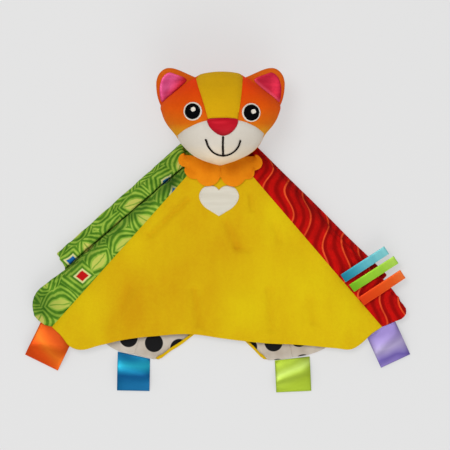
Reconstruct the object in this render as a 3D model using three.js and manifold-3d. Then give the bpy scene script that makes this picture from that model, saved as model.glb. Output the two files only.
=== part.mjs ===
// Comfort blanket with a stuffed cat's head, lying on its back.
// Millimetres, +Z up. +Y runs from the blanket to the top of the head, +X to the viewer's right.
// Everything is laid out around the neck, and the finished group is centred over its footprint.

import * as THREE from "three";
import { mergeVertices } from "three/addons/utils/BufferGeometryUtils.js";
import Module from "manifold-3d";

const wasm = await Module();
wasm.setup();

// Cloth and clearances
const velour = 1.5;
const cotton = 1.2;
const liningCloth = 1.0;
const satin = 0.6;
const felt = 1.4;
const skin = 1.6;
const gap = 0.3;
const weld = 1e-4;
const overrun = 60;
const wide = 2 * overrun;

// Blanket
const blanketSide = 300;
const neckWidth = 60;
const neckDepth = 20;
const hemDepth = 7.8;
const neckFrontReach = 23;
const hemReach = 175;
const slopePower = 1.6;
const ridgeBulge = 1.6;
const hemWave = 1.8;
const waveOnsetShare = 0.35;

// Head
const headHalfWidth = 56.2;
const headHeight = 88;
const chinDrop = 15.4;
const headAside = 0.5;
const faceDepth = 44;
const napeDepth = 40;
const napeFlat = 0.5;
const sectionPower = 2.2;

// Neck ball
const neckBallHeight = 15.1;
const sleeveRadius = 13.2;
const sleeveMouth = 5;
const ballSides = 20;

// Ears
const earWidth = 41.3;
const earHalfThickness = 4.4;
const earRim = 1.0;
const earSeat = 0.8;
const earLining = 0.9;

// Face
const eyeRadius = 8.2;
const pupilRadius = 7.0;
const glintRadius = 2.1;
const embroidery = 0.8;
const noseThickness = 1.4;
const stitchWidth = 1.5;
const eyeSides = 24;
const glintSides = 12;

// Tags
const tagGap = 1.6;
const tagLength = 32;
const tagSeat = 0.6;
const tagPinch = 0.1;
const streamerLength = 48;
const streamerLift = 0.8;
const streamerCloth = 0.5;
const streamerGap = 1.0;

const lerp = THREE.MathUtils.lerp;
const headPlane = napeDepth - napeFlat;

// Solids and meshes

function solidOf(geometry) {
  const plain = new THREE.BufferGeometry();
  plain.setAttribute("position", geometry.getAttribute("position"));
  if (geometry.index) plain.setIndex(geometry.index);
  const merged = mergeVertices(plain, weld);
  return new wasm.Manifold(
    new wasm.Mesh({
      numProp: 3,
      vertProperties: new Float32Array(merged.attributes.position.array),
      triVerts: new Uint32Array(merged.index.array),
    }),
  );
}

function geometryOf(solid) {
  const mesh = solid.getMesh();
  const points = new Float32Array(mesh.numVert * 3);
  for (let i = 0; i < mesh.numVert; i++) {
    const at = i * mesh.numProp;
    points.set(mesh.vertProperties.subarray(at, at + 3), i * 3);
  }
  const geometry = new THREE.BufferGeometry();
  geometry.setAttribute("position", new THREE.BufferAttribute(points, 3));
  geometry.setIndex(new THREE.BufferAttribute(mesh.triVerts, 1));
  geometry.computeVertexNormals();
  return geometry;
}

const toy = new THREE.Group();

function addNode(name, solid, colour, roughness) {
  const material = new THREE.MeshStandardMaterial({ color: colour, roughness, metalness: 0 });
  const mesh = new THREE.Mesh(geometryOf(solid), material);
  mesh.name = name;
  toy.add(mesh);
  return solid;
}

// The volume of a triangle list, to turn one that faces inwards.
function facingOut(points, faces) {
  let volume = 0;
  for (let i = 0; i < faces.length; i += 3) {
    const [a, b, c] = [points[faces[i]], points[faces[i + 1]], points[faces[i + 2]]];
    volume += a.dot(new THREE.Vector3().crossVectors(b, c));
  }
  if (volume < 0) {
    for (let i = 0; i < faces.length; i += 3) {
      [faces[i + 1], faces[i + 2]] = [faces[i + 2], faces[i + 1]];
    }
  }
  const geometry = new THREE.BufferGeometry().setFromPoints(points);
  geometry.setIndex(faces);
  return solidOf(geometry);
}

// A sheet closed between two grids of the same size.
function sheetBetween(outer, inner) {
  const rows = outer.length;
  const columns = outer[0].length;
  const points = [...outer.flat(), ...inner.flat()];
  const faces = [];
  const quad = (a, b, c, d) => faces.push(a, b, c, a, c, d);
  const at = (side, i, j) => (side * rows + i) * columns + j;
  for (let i = 0; i + 1 < rows; i++) {
    for (let j = 0; j + 1 < columns; j++) {
      quad(at(0, i, j), at(0, i + 1, j), at(0, i + 1, j + 1), at(0, i, j + 1));
      quad(at(1, i, j), at(1, i, j + 1), at(1, i + 1, j + 1), at(1, i + 1, j));
    }
  }
  for (let i = 0; i + 1 < rows; i++) {
    quad(at(1, i, 0), at(1, i + 1, 0), at(0, i + 1, 0), at(0, i, 0));
    const j = columns - 1;
    quad(at(0, i, j), at(0, i + 1, j), at(1, i + 1, j), at(1, i, j));
  }
  for (let j = 0; j + 1 < columns; j++) {
    quad(at(0, 0, j), at(0, 0, j + 1), at(1, 0, j + 1), at(1, 0, j));
    const i = rows - 1;
    quad(at(1, i, j), at(1, i, j + 1), at(0, i, j + 1), at(0, i, j));
  }
  return facingOut(points, faces);
}

// A grid moved along its own normals, and straight up or down at its two seams.
function offsetGrid(grid, distance) {
  const rows = grid.length;
  const columns = grid[0].length;
  return grid.map((row, i) =>
    row.map((point, j) => {
      const along = grid[i][Math.min(j + 1, columns - 1)].clone().sub(grid[i][Math.max(j - 1, 0)]);
      const round = grid[Math.min(i + 1, rows - 1)][j].clone().sub(grid[Math.max(i - 1, 0)][j]);
      const inward = round.cross(along).normalize();
      if (i === 0 || i === rows - 1) inward.set(0, 0, Math.sign(inward.z));
      return point.clone().addScaledVector(inward, distance);
    }),
  );
}

function prism(outline, low, high) {
  const shape = new THREE.Shape(outline.map(([x, y]) => new THREE.Vector2(x, y)));
  const body = new THREE.ExtrudeGeometry(shape, { depth: high - low, bevelEnabled: false });
  body.translate(0, 0, low);
  return solidOf(body);
}

function ball(x, y, z, radius, sides) {
  const body = new THREE.SphereGeometry(radius, sides, sides / 2);
  body.translate(x, y, z);
  return solidOf(body);
}

function disc(x, y, radius, sides) {
  const round = [];
  for (let i = 0; i < sides; i++) {
    const turn = (2 * Math.PI * i) / sides;
    round.push([x + radius * Math.cos(turn), y + radius * Math.sin(turn)]);
  }
  return round;
}

// The smooth line through a few chosen points.
function smoothLine(points, steps, closed = false) {
  const line = new THREE.SplineCurve(points.map(([x, y]) => new THREE.Vector2(x, y)));
  if (!closed) return line.getPoints(steps).map((p) => [p.x, p.y]);
  const ring = points.map(([x, y]) => new THREE.Vector3(x, y, 0));
  const loop = new THREE.CatmullRomCurve3(ring, true);
  return loop.getPoints(steps).slice(0, -1).map((p) => [p.x, p.y]);
}

// Blanket

// The height of the upper layer, from the neck down to the hem.
function topHeight(y) {
  const down = THREE.MathUtils.clamp((-y - neckFrontReach) / (hemReach - neckFrontReach), 0, 1);
  return hemDepth + (neckDepth - hemDepth) * (1 - down) ** slopePower;
}

// A straight line of cloth from the neck to the hem. Levels are shares of the upper layer's height.
const ruled = (hem, neck, hemLevel, neckLevel, bulge, onset = 0) => (down) => {
  const x = lerp(neck[0] * neckWidth, hem[0] * blanketSide, down);
  const y = lerp(neck[1] * neckWidth, hem[1] * blanketSide, down);
  const height = topHeight(y) * lerp(neckLevel, hemLevel, down);
  const grown = Math.max(0, (down - onset) / (1 - onset));
  return new THREE.Vector3(x, y, height + bulge * Math.sin((Math.PI / 2) * grown));
};

// One line of the round outer fold, where the cloth turns under.
const folded = (hem, neck, hemLevel, neckLevel, side, turn) => (down) => {
  const from = new THREE.Vector2(neck[0], neck[1]).multiplyScalar(neckWidth);
  const to = new THREE.Vector2(hem[0], hem[1]).multiplyScalar(blanketSide);
  const edge = from.clone().lerp(to, down);
  const along = to.sub(from).normalize();
  const outward = new THREE.Vector2(-along.y, along.x).multiplyScalar(side);
  const radius = (topHeight(edge.y) * lerp(neckLevel, hemLevel, down)) / 2;
  edge.addScaledVector(outward, -radius * (1 - Math.cos(turn)));
  return new THREE.Vector3(edge.x, edge.y, radius * (1 + Math.sin(turn)));
};

const foldTurns = [-90, -54, -18, 18, 54, 90].map(THREE.MathUtils.degToRad);

// The hem and neck points of each side, round the blanket, as shares of its side and of the neck.
const frontHemShares = [
  [-0.532, -0.56, 0],
  [-0.503, -0.586, 0.07],
  [-0.475, -0.621, 0.27],
  [-0.443, -0.632, 0.67],
  [-0.38, -0.618, 0.83],
  [-0.301, -0.6, 0.33],
  [-0.206, -0.589, 0.07],
  [-0.089, -0.583, 0.5],
  [0.016, -0.597, 1],
  [0.127, -0.61, 0.5],
  [0.253, -0.617, 0.07],
  [0.364, -0.627, 0.67],
  [0.415, -0.63, 0.83],
  [0.45, -0.61, 0.33],
  [0.481, -0.58, 0.07],
  [0.513, -0.56, 0],
];
const frontNeckShares = [
  [-0.475, -0.364],
  [-0.25, -0.44],
  [0, -0.46],
  [0.27, -0.45],
  [0.507, -0.412],
];
const rightUpperShares = [
  [[0.513, -0.56], [0.507, -0.412], 1, 1, 0],
  [[0.551, -0.543], [0.515, -0.36], 1, 0.95, 0.5],
  [[0.573, -0.535], [0.52, -0.31], 1.02, 0.88, 0.8],
  [[0.587, -0.519], [0.525, -0.26], 1.04, 0.8, 1],
  [[0.587, -0.5], [0.53, -0.21], 1.04, 0.72, 1],
  [[0.57, -0.478], [0.535, -0.15], 1, 0.62, 1],
  [[0.545, -0.44], [0.54, -0.09], 0.95, 0.52, 0.8],
  [[0.526, -0.421], [0.543, -0.03], 0.84, 0.42, 0.3],
  [[0.514, -0.411], [0.544, 0.03], 0.7, 0.34, 0],
];
const rightFoldShares = [[0.529, -0.396], [0.538, 0.095], 0.6, 0.3];
const rightLowerShares = [
  [[0.427, -0.522], [0.48, 0.02]],
  [[0.329, -0.629], [0.44, -0.03]],
  [[0.282, -0.647], [0.4, -0.06]],
  [[0.231, -0.656], [0.364, -0.08]],
];
const backShares = [
  [[0.231, -0.656], [0.364, -0.08]],
  [[0.18, -0.664], [0.31, -0.085]],
  [[0.139, -0.662], [0.26, -0.09]],
  [[0.108, -0.633], [0.21, -0.09]],
  [[0.079, -0.605], [0.16, -0.09]],
  [[0.041, -0.565], [0.09, -0.09]],
  [[0, -0.548], [0, -0.09]],
  [[-0.044, -0.56], [-0.07, -0.09]],
  [[-0.085, -0.587], [-0.13, -0.09]],
  [[-0.123, -0.616], [-0.19, -0.09]],
  [[-0.158, -0.638], [-0.24, -0.09]],
  [[-0.196, -0.663], [-0.28, -0.085]],
  [[-0.222, -0.659], [-0.31, -0.083]],
  [[-0.272, -0.647], [-0.332, -0.08]],
];
const leftLowerShares = [
  [[-0.272, -0.647], [-0.332, -0.08]],
  [[-0.323, -0.635], [-0.38, -0.06]],
  [[-0.361, -0.613], [-0.43, -0.02]],
  [[-0.443, -0.459], [-0.49, 0.04]],
];
const leftFoldShares = [[-0.517, -0.329], [-0.586, 0.135], 0.62, 0.3];
const leftUpperShares = [
  [[-0.507, -0.345], [-0.583, 0.047], 0.72, 0.36, 1],
  [[-0.497, -0.358], [-0.576, -0.11], 0.74, 0.58, 1],
  [[-0.488, -0.375], [-0.57, -0.27], 0.7, 0.8, 0],
  [[-0.513, -0.396], [-0.558, -0.282], 0.82, 0.83, 0.5],
  [[-0.545, -0.42], [-0.546, -0.294], 1, 0.86, 1],
  [[-0.58, -0.45], [-0.534, -0.306], 1.08, 0.89, 1],
  [[-0.591, -0.478], [-0.522, -0.318], 1.12, 0.92, 1],
  [[-0.591, -0.507], [-0.51, -0.33], 1.12, 0.95, 1],
  [[-0.576, -0.537], [-0.498, -0.341], 1.08, 0.97, 0.7],
  [[-0.554, -0.553], [-0.486, -0.353], 1.02, 0.99, 0.4],
  [[-0.532, -0.56], [-0.475, -0.364], 1, 1, 0],
];

const upperLines = (shares) =>
  shares.map(([hem, neck, hemLevel, neckLevel, bulge]) =>
    ruled(hem, neck, hemLevel, neckLevel, bulge * ridgeBulge),
  );
const lowerLines = (shares) => shares.map(([hem, neck]) => ruled(hem, neck, 0, 0, 0));
const foldLines = ([hem, neck, hemLevel, neckLevel], side, turns) =>
  turns.map((turn) => folded(hem, neck, hemLevel, neckLevel, side, turn));

const neckFront = smoothLine(frontNeckShares, frontHemShares.length - 1);
const frontLines = frontHemShares.map(([x, y, wave], i) =>
  ruled([x, y], neckFront[i], 1, 1, wave * hemWave, waveOnsetShare),
);
const rightLines = [
  ...upperLines(rightUpperShares),
  ...foldLines(rightFoldShares, 1, [...foldTurns].reverse()),
  ...lowerLines(rightLowerShares),
];
const backLines = lowerLines(backShares);
const leftLines = [
  ...lowerLines(leftLowerShares),
  ...foldLines(leftFoldShares, -1, foldTurns),
  ...upperLines(leftUpperShares),
];

const clothRows = [0, 0.08, 0.2, 0.36, 0.56, 0.78, 1];

// The outer face of one side. Its first and last lines stand half a gap back from the seams.
function sideGrid(lines) {
  const grid = lines.map((line) => clothRows.map(line));
  const last = grid.length - 1;
  grid[0] = grid[0].map((p, j) => p.clone().addScaledVector(seamStep(p, grid[1][j]), gap / 2));
  grid[last] = grid[last].map((p, j) =>
    p.clone().addScaledVector(seamStep(p, grid[last - 1][j]), gap / 2),
  );
  return grid;
}

function seamStep(from, to) {
  return to.clone().sub(from).normalize();
}

function clothSide(name, lines, cloth, colour, roughness) {
  const face = sideGrid(lines);
  addNode(name + "_panel", sheetBetween(face, offsetGrid(face, cloth)), colour, roughness);
  const liningTop = offsetGrid(face, cloth + gap);
  const liningUnder = offsetGrid(face, cloth + gap + liningCloth);
  addNode(name + "_lining", sheetBetween(liningTop, liningUnder), "#e9e7e0", 0.9);
  return face;
}

const frontFace = clothSide("front", frontLines, velour, "#e5b213", 0.95);
clothSide("right", rightLines, cotton, "#c5261c", 0.9);
clothSide("back", backLines, velour, "#e5b213", 0.95);
clothSide("left", leftLines, cotton, "#5fae3f", 0.9);

// A thin layer that lies on the upper cloth near the neck.
function layerOnTop(low, high) {
  const reach = neckFrontReach + blanketSide / 4;
  const columns = [-neckWidth, neckWidth];
  const rows = 14;
  const layer = (lift) =>
    columns.map((x) =>
      Array.from({ length: rows }, (_, i) => {
        const y = lerp(chinDrop, -reach, i / (rows - 1));
        return new THREE.Vector3(x, y, topHeight(y) + lift);
      }),
    );
  return sheetBetween(layer(high), layer(low));
}

// Collar

const collarLeftShares = [
  [-0.648, -0.118],
  [-0.629, -0.213],
  [-0.566, -0.252],
  [-0.487, -0.361],
  [-0.425, -0.425],
  [-0.315, -0.442],
  [-0.247, -0.505],
  [-0.135, -0.541],
  [-0.038, -0.49],
  [0.003, -0.386],
  [0.003, -0.262],
  [-0.135, -0.225],
  [-0.362, -0.134],
  [-0.566, -0.087],
];
const collarRightShares = [
  [0.025, -0.386],
  [0.074, -0.49],
  [0.185, -0.557],
  [0.299, -0.523],
  [0.33, -0.458],
  [0.472, -0.433],
  [0.523, -0.361],
  [0.539, -0.28],
  [0.629, -0.218],
  [0.651, -0.173],
  [0.555, -0.103],
  [0.424, -0.134],
  [0.189, -0.225],
  [0.025, -0.262],
];
const atNeck = ([x, y]) => [x * neckWidth, y * neckWidth];
const collarLayer = layerOnTop(gap, gap + felt);
const collars = [
  ["collar_left", collarLeftShares],
  ["collar_right", collarRightShares],
];
for (const [name, shares] of collars) {
  const flap = prism(shares.map(atNeck), 0, overrun);
  addNode(name, flap.intersect(collarLayer), "#f08a1c", 0.95);
}

// Heart patch

const heartWidth = 37.7;
const heartPlaceShare = [-0.0158, -0.783];
const heartShares = [
  [0, 0.235],
  [0.08, 0.31],
  [0.22, 0.345],
  [0.36, 0.31],
  [0.46, 0.21],
  [0.5, 0.08],
  [0.46, -0.06],
  [0.36, -0.19],
  [0.18, -0.31],
  [0, -0.42],
];
const heartLeft = heartShares.slice(1, -1).reverse().map(([x, y]) => [-x, y]);
const heartMiddle = atNeck(heartPlaceShare);
const heart = [...heartShares, ...heartLeft].map(([x, y]) => [
  heartMiddle[0] + x * heartWidth,
  heartMiddle[1] + y * heartWidth,
]);
addNode(
  "heart_label",
  prism(heart, 0, overrun).intersect(layerOnTop(gap, gap + liningCloth)),
  "#ece9e2",
  0.6,
);

// Neck

const sleeveOuter = ball(0, 0, neckBallHeight, sleeveRadius, ballSides);
const sleeveInner = ball(0, 0, neckBallHeight, sleeveRadius - velour, ballSides);
const mouth = prism(
  [
    [-overrun, sleeveMouth],
    [overrun, sleeveMouth],
    [overrun, overrun],
    [-overrun, overrun],
  ],
  -overrun,
  overrun,
);
addNode("neck_sleeve", sleeveOuter.subtract(sleeveInner).subtract(mouth), "#e5b213", 0.95);
addNode(
  "neck_stuffing",
  ball(0, 0, neckBallHeight, sleeveRadius - velour - gap, ballSides),
  "#f2f0ea",
  1,
);

// Head

// Half width and half depth of the head at rising heights, as shares of its largest.
const headShares = [
  [0.012, 0.09, 0.3],
  [0.05, 0.28, 0.46],
  [0.11, 0.467, 0.6],
  [0.2, 0.63, 0.76],
  [0.32, 0.75, 0.89],
  [0.43, 0.885, 0.97],
  [0.54, 0.97, 1],
  [0.64, 1, 0.98],
  [0.7, 0.925, 0.94],
  [0.76, 0.803, 0.88],
  [0.82, 0.683, 0.8],
  [0.88, 0.562, 0.68],
  [0.94, 0.435, 0.52],
  [0.98, 0.3, 0.33],
  [0.994, 0.15, 0.17],
];
const chin = -chinDrop;
const aroundHead = 28;

function headSolid(inset) {
  const points = [new THREE.Vector3(headAside, chin + inset, headPlane)];
  for (const [rise, width, depth] of headShares) {
    const y = chin + inset + rise * (headHeight - 2 * inset);
    for (let i = 0; i < aroundHead; i++) {
      const turn = (2 * Math.PI * i) / aroundHead;
      const [c, s] = [Math.cos(turn), Math.sin(turn)];
      const bend = 2 / sectionPower;
      const across = width * headHalfWidth - inset;
      const deep = depth * (s > 0 ? faceDepth : napeDepth) - inset;
      points.push(
        new THREE.Vector3(
          headAside + Math.sign(c) * Math.abs(c) ** bend * Math.max(across, inset),
          y,
          headPlane + Math.sign(s) * Math.abs(s) ** bend * Math.max(deep, inset),
        ),
      );
    }
  }
  points.push(new THREE.Vector3(headAside, chin + headHeight - inset, headPlane));
  const faces = [];
  const rings = headShares.length;
  const at = (ring, i) => 1 + ring * aroundHead + (i % aroundHead);
  const top = points.length - 1;
  for (let i = 0; i < aroundHead; i++) {
    faces.push(0, at(0, i), at(0, i + 1));
    faces.push(top, at(rings - 1, i + 1), at(rings - 1, i));
    for (let ring = 0; ring + 1 < rings; ring++) {
      faces.push(at(ring, i), at(ring + 1, i), at(ring + 1, i + 1));
      faces.push(at(ring, i), at(ring + 1, i + 1), at(ring, i + 1));
    }
  }
  return facingOut(points, faces);
}

const below = (height) =>
  prism(
    [
      [-wide, -overrun],
      [wide, -overrun],
      [wide, wide],
      [-wide, wide],
    ],
    -overrun,
    height,
  );
const neckHollow = ball(0, 0, neckBallHeight, sleeveRadius + gap, ballSides);
const headOuter = headSolid(0).subtract(below(0)).subtract(neckHollow);
const headInner = headSolid(skin).subtract(below(skin));
const headCore = headSolid(skin + gap).subtract(below(skin + gap)).subtract(neckHollow);
addNode("head_stuffing", headCore, "#f2f0ea", 1);
const headSkin = headOuter.subtract(headInner);

const onHead = ([x, y]) => [headAside + x * headHalfWidth, chin + y * headHeight];

// Each skin panel is the skin inside an outline, half a gap back from its neighbours.
const muzzleTopShares = [
  [-1.3, 0.2],
  [-0.9, 0.25],
  [-0.733, 0.309],
  [-0.626, 0.354],
  [-0.493, 0.399],
  [-0.361, 0.435],
  [-0.204, 0.463],
  [0.288, 0.463],
  [0.411, 0.446],
  [0.51, 0.42],
  [0.627, 0.38],
  [0.721, 0.337],
  [0.9, 0.27],
  [1.3, 0.22],
];
const foreheadShares = [
  [-0.45, 1.2],
  [-0.421, 0.94],
  [-0.313, 0.713],
  [-0.204, 0.463],
  [0.288, 0.463],
  [0.347, 0.713],
  [0.383, 0.94],
  [0.42, 1.2],
];
const half = gap / 2;
const shifted = (outline, dx, dy) => outline.map(([x, y]) => [x + dx, y + dy]);
const [sideShare, lowShare, highShare] = [1.3, -0.3, 1.2];
const muzzleOutline = [
  ...shifted(muzzleTopShares.map(onHead), 0, -half),
  ...[[sideShare, lowShare], [-sideShare, lowShare]].map(onHead),
];
const aboveMuzzle = [
  ...shifted(muzzleTopShares.map(onHead), 0, half),
  ...[[sideShare, highShare], [-sideShare, highShare]].map(onHead),
];
const foreheadLine = foreheadShares.map(onHead);
const middle = foreheadShares.length / 2;
const foreheadOutline = [
  ...shifted(foreheadLine.slice(0, middle), half, 0),
  ...shifted(foreheadLine.slice(middle), -half, 0),
];
const leftOfForehead = [
  ...shifted(foreheadLine.slice(0, middle), -half, 0),
  ...[[foreheadShares[middle - 1][0], lowShare], [-sideShare, lowShare]].map(onHead),
  onHead([-sideShare, highShare]),
];
const rightOfForehead = [
  ...shifted(foreheadLine.slice(middle), half, 0),
  ...[[sideShare, highShare], [sideShare, lowShare]].map(onHead),
  onHead([foreheadShares[middle][0], lowShare]),
];
const sideSeam = headPlane + half;
const faceSkin = (outline, other) => {
  const cut = headSkin.intersect(prism(outline, sideSeam, wide));
  return other ? cut.intersect(prism(other, sideSeam, wide)) : cut;
};
const backBox = (from, to) =>
  prism(
    [
      [from, -overrun],
      [to, -overrun],
      [to, wide],
      [from, wide],
    ],
    -overrun,
    headPlane - half,
  );
const headPieces = [
  ["muzzle", faceSkin(muzzleOutline), "#d8d0c0"],
  ["forehead", faceSkin(foreheadOutline, aboveMuzzle), "#e5b213"],
  ["cheek_left", faceSkin(leftOfForehead, aboveMuzzle), "#ec7a1a"],
  ["cheek_right", faceSkin(rightOfForehead, aboveMuzzle), "#ec7a1a"],
  ["head_back_left", headSkin.intersect(backBox(-wide, headAside - half)), "#ec7a1a"],
  ["head_back_right", headSkin.intersect(backBox(headAside + half, wide)), "#ec7a1a"],
];
for (const [name, solid, colour] of headPieces) addNode(name, solid, colour, 0.95);

// Face

// A layer of thread or satin on the face, between two heights above the skin.
function faceLayer(low, high) {
  return headSolid(-high).subtract(headSolid(-low));
}

function onFace(outline, low, high) {
  return faceLayer(low, high).intersect(prism(outline, headPlane + skin, wide));
}

const noseShares = [
  [-0.225, 0.472],
  [-0.098, 0.487],
  [0.041, 0.488],
  [0.181, 0.487],
  [0.296, 0.472],
  [0.288, 0.413],
  [0.214, 0.355],
  [0.115, 0.313],
  [0.045, 0.306],
  [-0.033, 0.318],
  [-0.131, 0.36],
  [-0.205, 0.413],
];
addNode("nose", onFace(noseShares.map(onHead), gap, gap + noseThickness), "#c8203a", 0.5);

const smileShares = [
  [-0.241, 0.269],
  [-0.197, 0.194],
  [-0.099, 0.127],
  [0.045, 0.1],
  [0.19, 0.127],
  [0.288, 0.189],
  [0.329, 0.259],
];
const smileLine = smoothLine(smileShares.map(onHead), 16);

// A line widened to both sides.
function widened(line, width) {
  const sides = [[], []];
  line.forEach(([x, y], i) => {
    const [ax, ay] = line[Math.max(i - 1, 0)];
    const [bx, by] = line[Math.min(i + 1, line.length - 1)];
    const long = Math.hypot(bx - ax, by - ay);
    const [nx, ny] = [(ay - by) / long, (bx - ax) / long];
    sides[0].push([x + (nx * width) / 2, y + (ny * width) / 2]);
    sides[1].unshift([x - (nx * width) / 2, y - (ny * width) / 2]);
  });
  return [...sides[0], ...sides[1]];
}

const philtrumShares = [
  [0.045, 0.298],
  [0.045, 0.1],
];
const thread = (line) => onFace(widened(line, stitchWidth), gap, gap + embroidery);
addNode(
  "mouth_stitching",
  thread(smileLine).add(thread(philtrumShares.map(onHead))),
  "#3a2a22",
  0.8,
);

const eyeShares = [
  ["eye_left", [-0.454, 0.561]],
  ["eye_right", [0.506, 0.549]],
];
const glintShift = [1.3, 1.4];
for (const [name, place] of eyeShares) {
  const [x, y] = onHead(place);
  const lift = gap + embroidery;
  const glintAt = [x + glintShift[0], y + glintShift[1]];
  const layers = [
    ["_white", disc(x, y, eyeRadius, eyeSides), gap, lift, "#f4f2ec"],
    ["_pupil", disc(x, y, pupilRadius, eyeSides), lift + gap, 2 * lift, "#1a1718"],
    ["_glint", disc(...glintAt, glintRadius, glintSides), 2 * lift + gap, 3 * lift, "#f4f2ec"],
  ];
  for (const [part, outline, low, high, colour] of layers) {
    addNode(name + part, onFace(outline, low, high), colour, 0.6);
  }
}

// Ears

// The ear's outline along its seam (first number) and out from it, as shares of the seam.
const earShares = [
  [0.01, 0],
  [0.045, 0.17],
  [0.145, 0.348],
  [0.262, 0.488],
  [0.373, 0.56],
  [0.484, 0.587],
  [0.614, 0.568],
  [0.723, 0.484],
  [0.803, 0.37],
  [0.872, 0.238],
  [0.94, 0.098],
  [0.985, 0],
];
const earInnerShares = [
  [0.06, 0.03],
  [0.16, 0.248],
  [0.28, 0.375],
  [0.4, 0.449],
  [0.5, 0.47],
  [0.597, 0.453],
  [0.69, 0.328],
  [0.8, 0.06],
  [0.6, 0.03],
  [0.4, 0.03],
  [0.2, 0.03],
];
const earSeamShares = { low: [-1, 0.654], high: [-0.433, 0.952] };
const earMiddleShare = [0.5, 0.24];
const pillowRings = [1, 0.85, 0.6, 0.3];

// A stuffed form over an outline: thin at the rim and full in the middle.
function pillow(outline, centre, halfThickness, rim) {
  const points = [];
  const sides = outline.length;
  const rise = (share) => rim + (halfThickness - rim) * (1 - share ** 2) ** 0.8;
  for (const face of [1, -1]) {
    for (const share of pillowRings) {
      for (const [x, y] of outline) {
        const at = [lerp(centre[0], x, share), lerp(centre[1], y, share)];
        points.push(new THREE.Vector3(at[0], at[1], face * rise(share)));
      }
    }
    points.push(new THREE.Vector3(centre[0], centre[1], face * halfThickness));
  }
  const faceSize = pillowRings.length * sides + 1;
  const faces = [];
  for (let i = 0; i < sides; i++) {
    const next = (i + 1) % sides;
    faces.push(i, faceSize + next, next, i, faceSize + i, faceSize + next);
    for (const face of [0, 1]) {
      const start = face * faceSize;
      const turned = (a, b, c) => (face ? faces.push(a, b, c) : faces.push(a, c, b));
      for (let ring = 0; ring + 1 < pillowRings.length; ring++) {
        const low = start + ring * sides;
        turned(low + i, low + sides + i, low + sides + next);
        turned(low + i, low + sides + next, low + next);
      }
      const inner = start + (pillowRings.length - 1) * sides;
      turned(inner + i, start + faceSize - 1, inner + next);
    }
  }
  return facingOut(points, faces);
}

const liningRise = gap + earLining;
const asEar = ([x, y]) => [x * earWidth, y * earWidth];
const earOutline = earShares.map(asEar);
const earCentre = asEar(earMiddleShare);
const earShell = pillow(earOutline, earCentre, earHalfThickness, earRim);
const earOver = pillow(earOutline, earCentre, earHalfThickness + gap, earRim + gap);
const earTop = pillow(earOutline, earCentre, earHalfThickness + liningRise, earRim + liningRise);
const earFaceCut = prism(smoothLine(earInnerShares.map(asEar), 22, true), 0, overrun);
const earSatin = earTop.subtract(earOver).intersect(earFaceCut);

const seamLow = new THREE.Vector3(...onHead(earSeamShares.low), headPlane);
const seamHigh = new THREE.Vector3(...onHead(earSeamShares.high), headPlane);
const alongSeam = seamHigh.clone().sub(seamLow).normalize();
const offHead = new THREE.Vector3(-alongSeam.y, alongSeam.x, 0);
const earStart = seamLow.clone().addScaledVector(offHead, earSeat);
const placeLeft = new THREE.Matrix4().makeBasis(alongSeam, offHead, new THREE.Vector3(0, 0, 1));
placeLeft.setPosition(earStart);
const flip = new THREE.Matrix4().makeScale(-1, 1, 1).setPosition(2 * headAside, 0, 0);
const placeRight = flip.clone().multiply(placeLeft);

function placed(solid, matrix) {
  const geometry = geometryOf(solid).applyMatrix4(matrix);
  if (matrix.determinant() < 0) {
    const order = geometry.index.array;
    for (let i = 0; i < order.length; i += 3) {
      [order[i + 1], order[i + 2]] = [order[i + 2], order[i + 1]];
    }
  }
  return solidOf(geometry);
}

for (const [side, matrix, pink] of [
  ["left", placeLeft, "#e2678a"],
  ["right", placeRight, "#cf3f5c"],
]) {
  addNode("ear_" + side, placed(earShell, matrix), "#ee8420", 0.95);
  addNode("ear_" + side + "_satin", placed(earSatin, matrix), pink, 0.35);
}

// Ribbon tags

// A ribbon folded double. It runs outwards from its seam, and its end is square to its length.
function ribbonLoop(start, end, outward, length, cloth, inside, high, low) {
  const seam = new THREE.Vector3(end[0] - start[0], end[1] - start[1], 0);
  const away = new THREE.Vector3(...outward, 0).normalize();
  const outer = cloth + inside / 2;
  const bend = 8;
  const base = cloth + tagPinch / 2;
  const profileTo = (run) => {
    const line = [[0, base], [run / 2, outer]];
    const round = (radius, from, to) => {
      for (let i = 0; i <= bend; i++) {
        const turn = (Math.PI * lerp(from, to, i / bend)) / 2;
        line.push([run + radius * Math.cos(turn), radius * Math.sin(turn)]);
      }
    };
    round(outer, 1, -1);
    line.push([run / 2, -outer], [0, -base], [0, -tagPinch / 2], [run / 2, -inside / 2]);
    round(inside / 2, -1, 1);
    line.push([run / 2, inside / 2], [0, tagPinch / 2]);
    return line.reverse();
  };
  const points = [];
  for (const share of [0, 1]) {
    const lag = (share - 1 / 2) * seam.dot(away);
    for (const [s, h] of profileTo(length - outer - lag)) {
      const fall = lerp(high, low, s / length);
      points.push(
        new THREE.Vector3(start[0], start[1], fall + outer + h)
          .addScaledVector(seam, share)
          .addScaledVector(away, tagSeat + s),
      );
    }
  }
  const profile = profileTo(length - outer);
  const count = profile.length;
  const contour = profile.map(([s, h]) => new THREE.Vector2(s, h));
  const faces = [];
  for (const [a, b, c] of THREE.ShapeUtils.triangulateShape(contour, [])) {
    faces.push(a, b, c, count + a, count + c, count + b);
  }
  for (let i = 0; i < count; i++) {
    const next = (i + 1) % count;
    faces.push(i, count + i, count + next, i, count + next, next);
  }
  return facingOut(points, faces);
}

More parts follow.
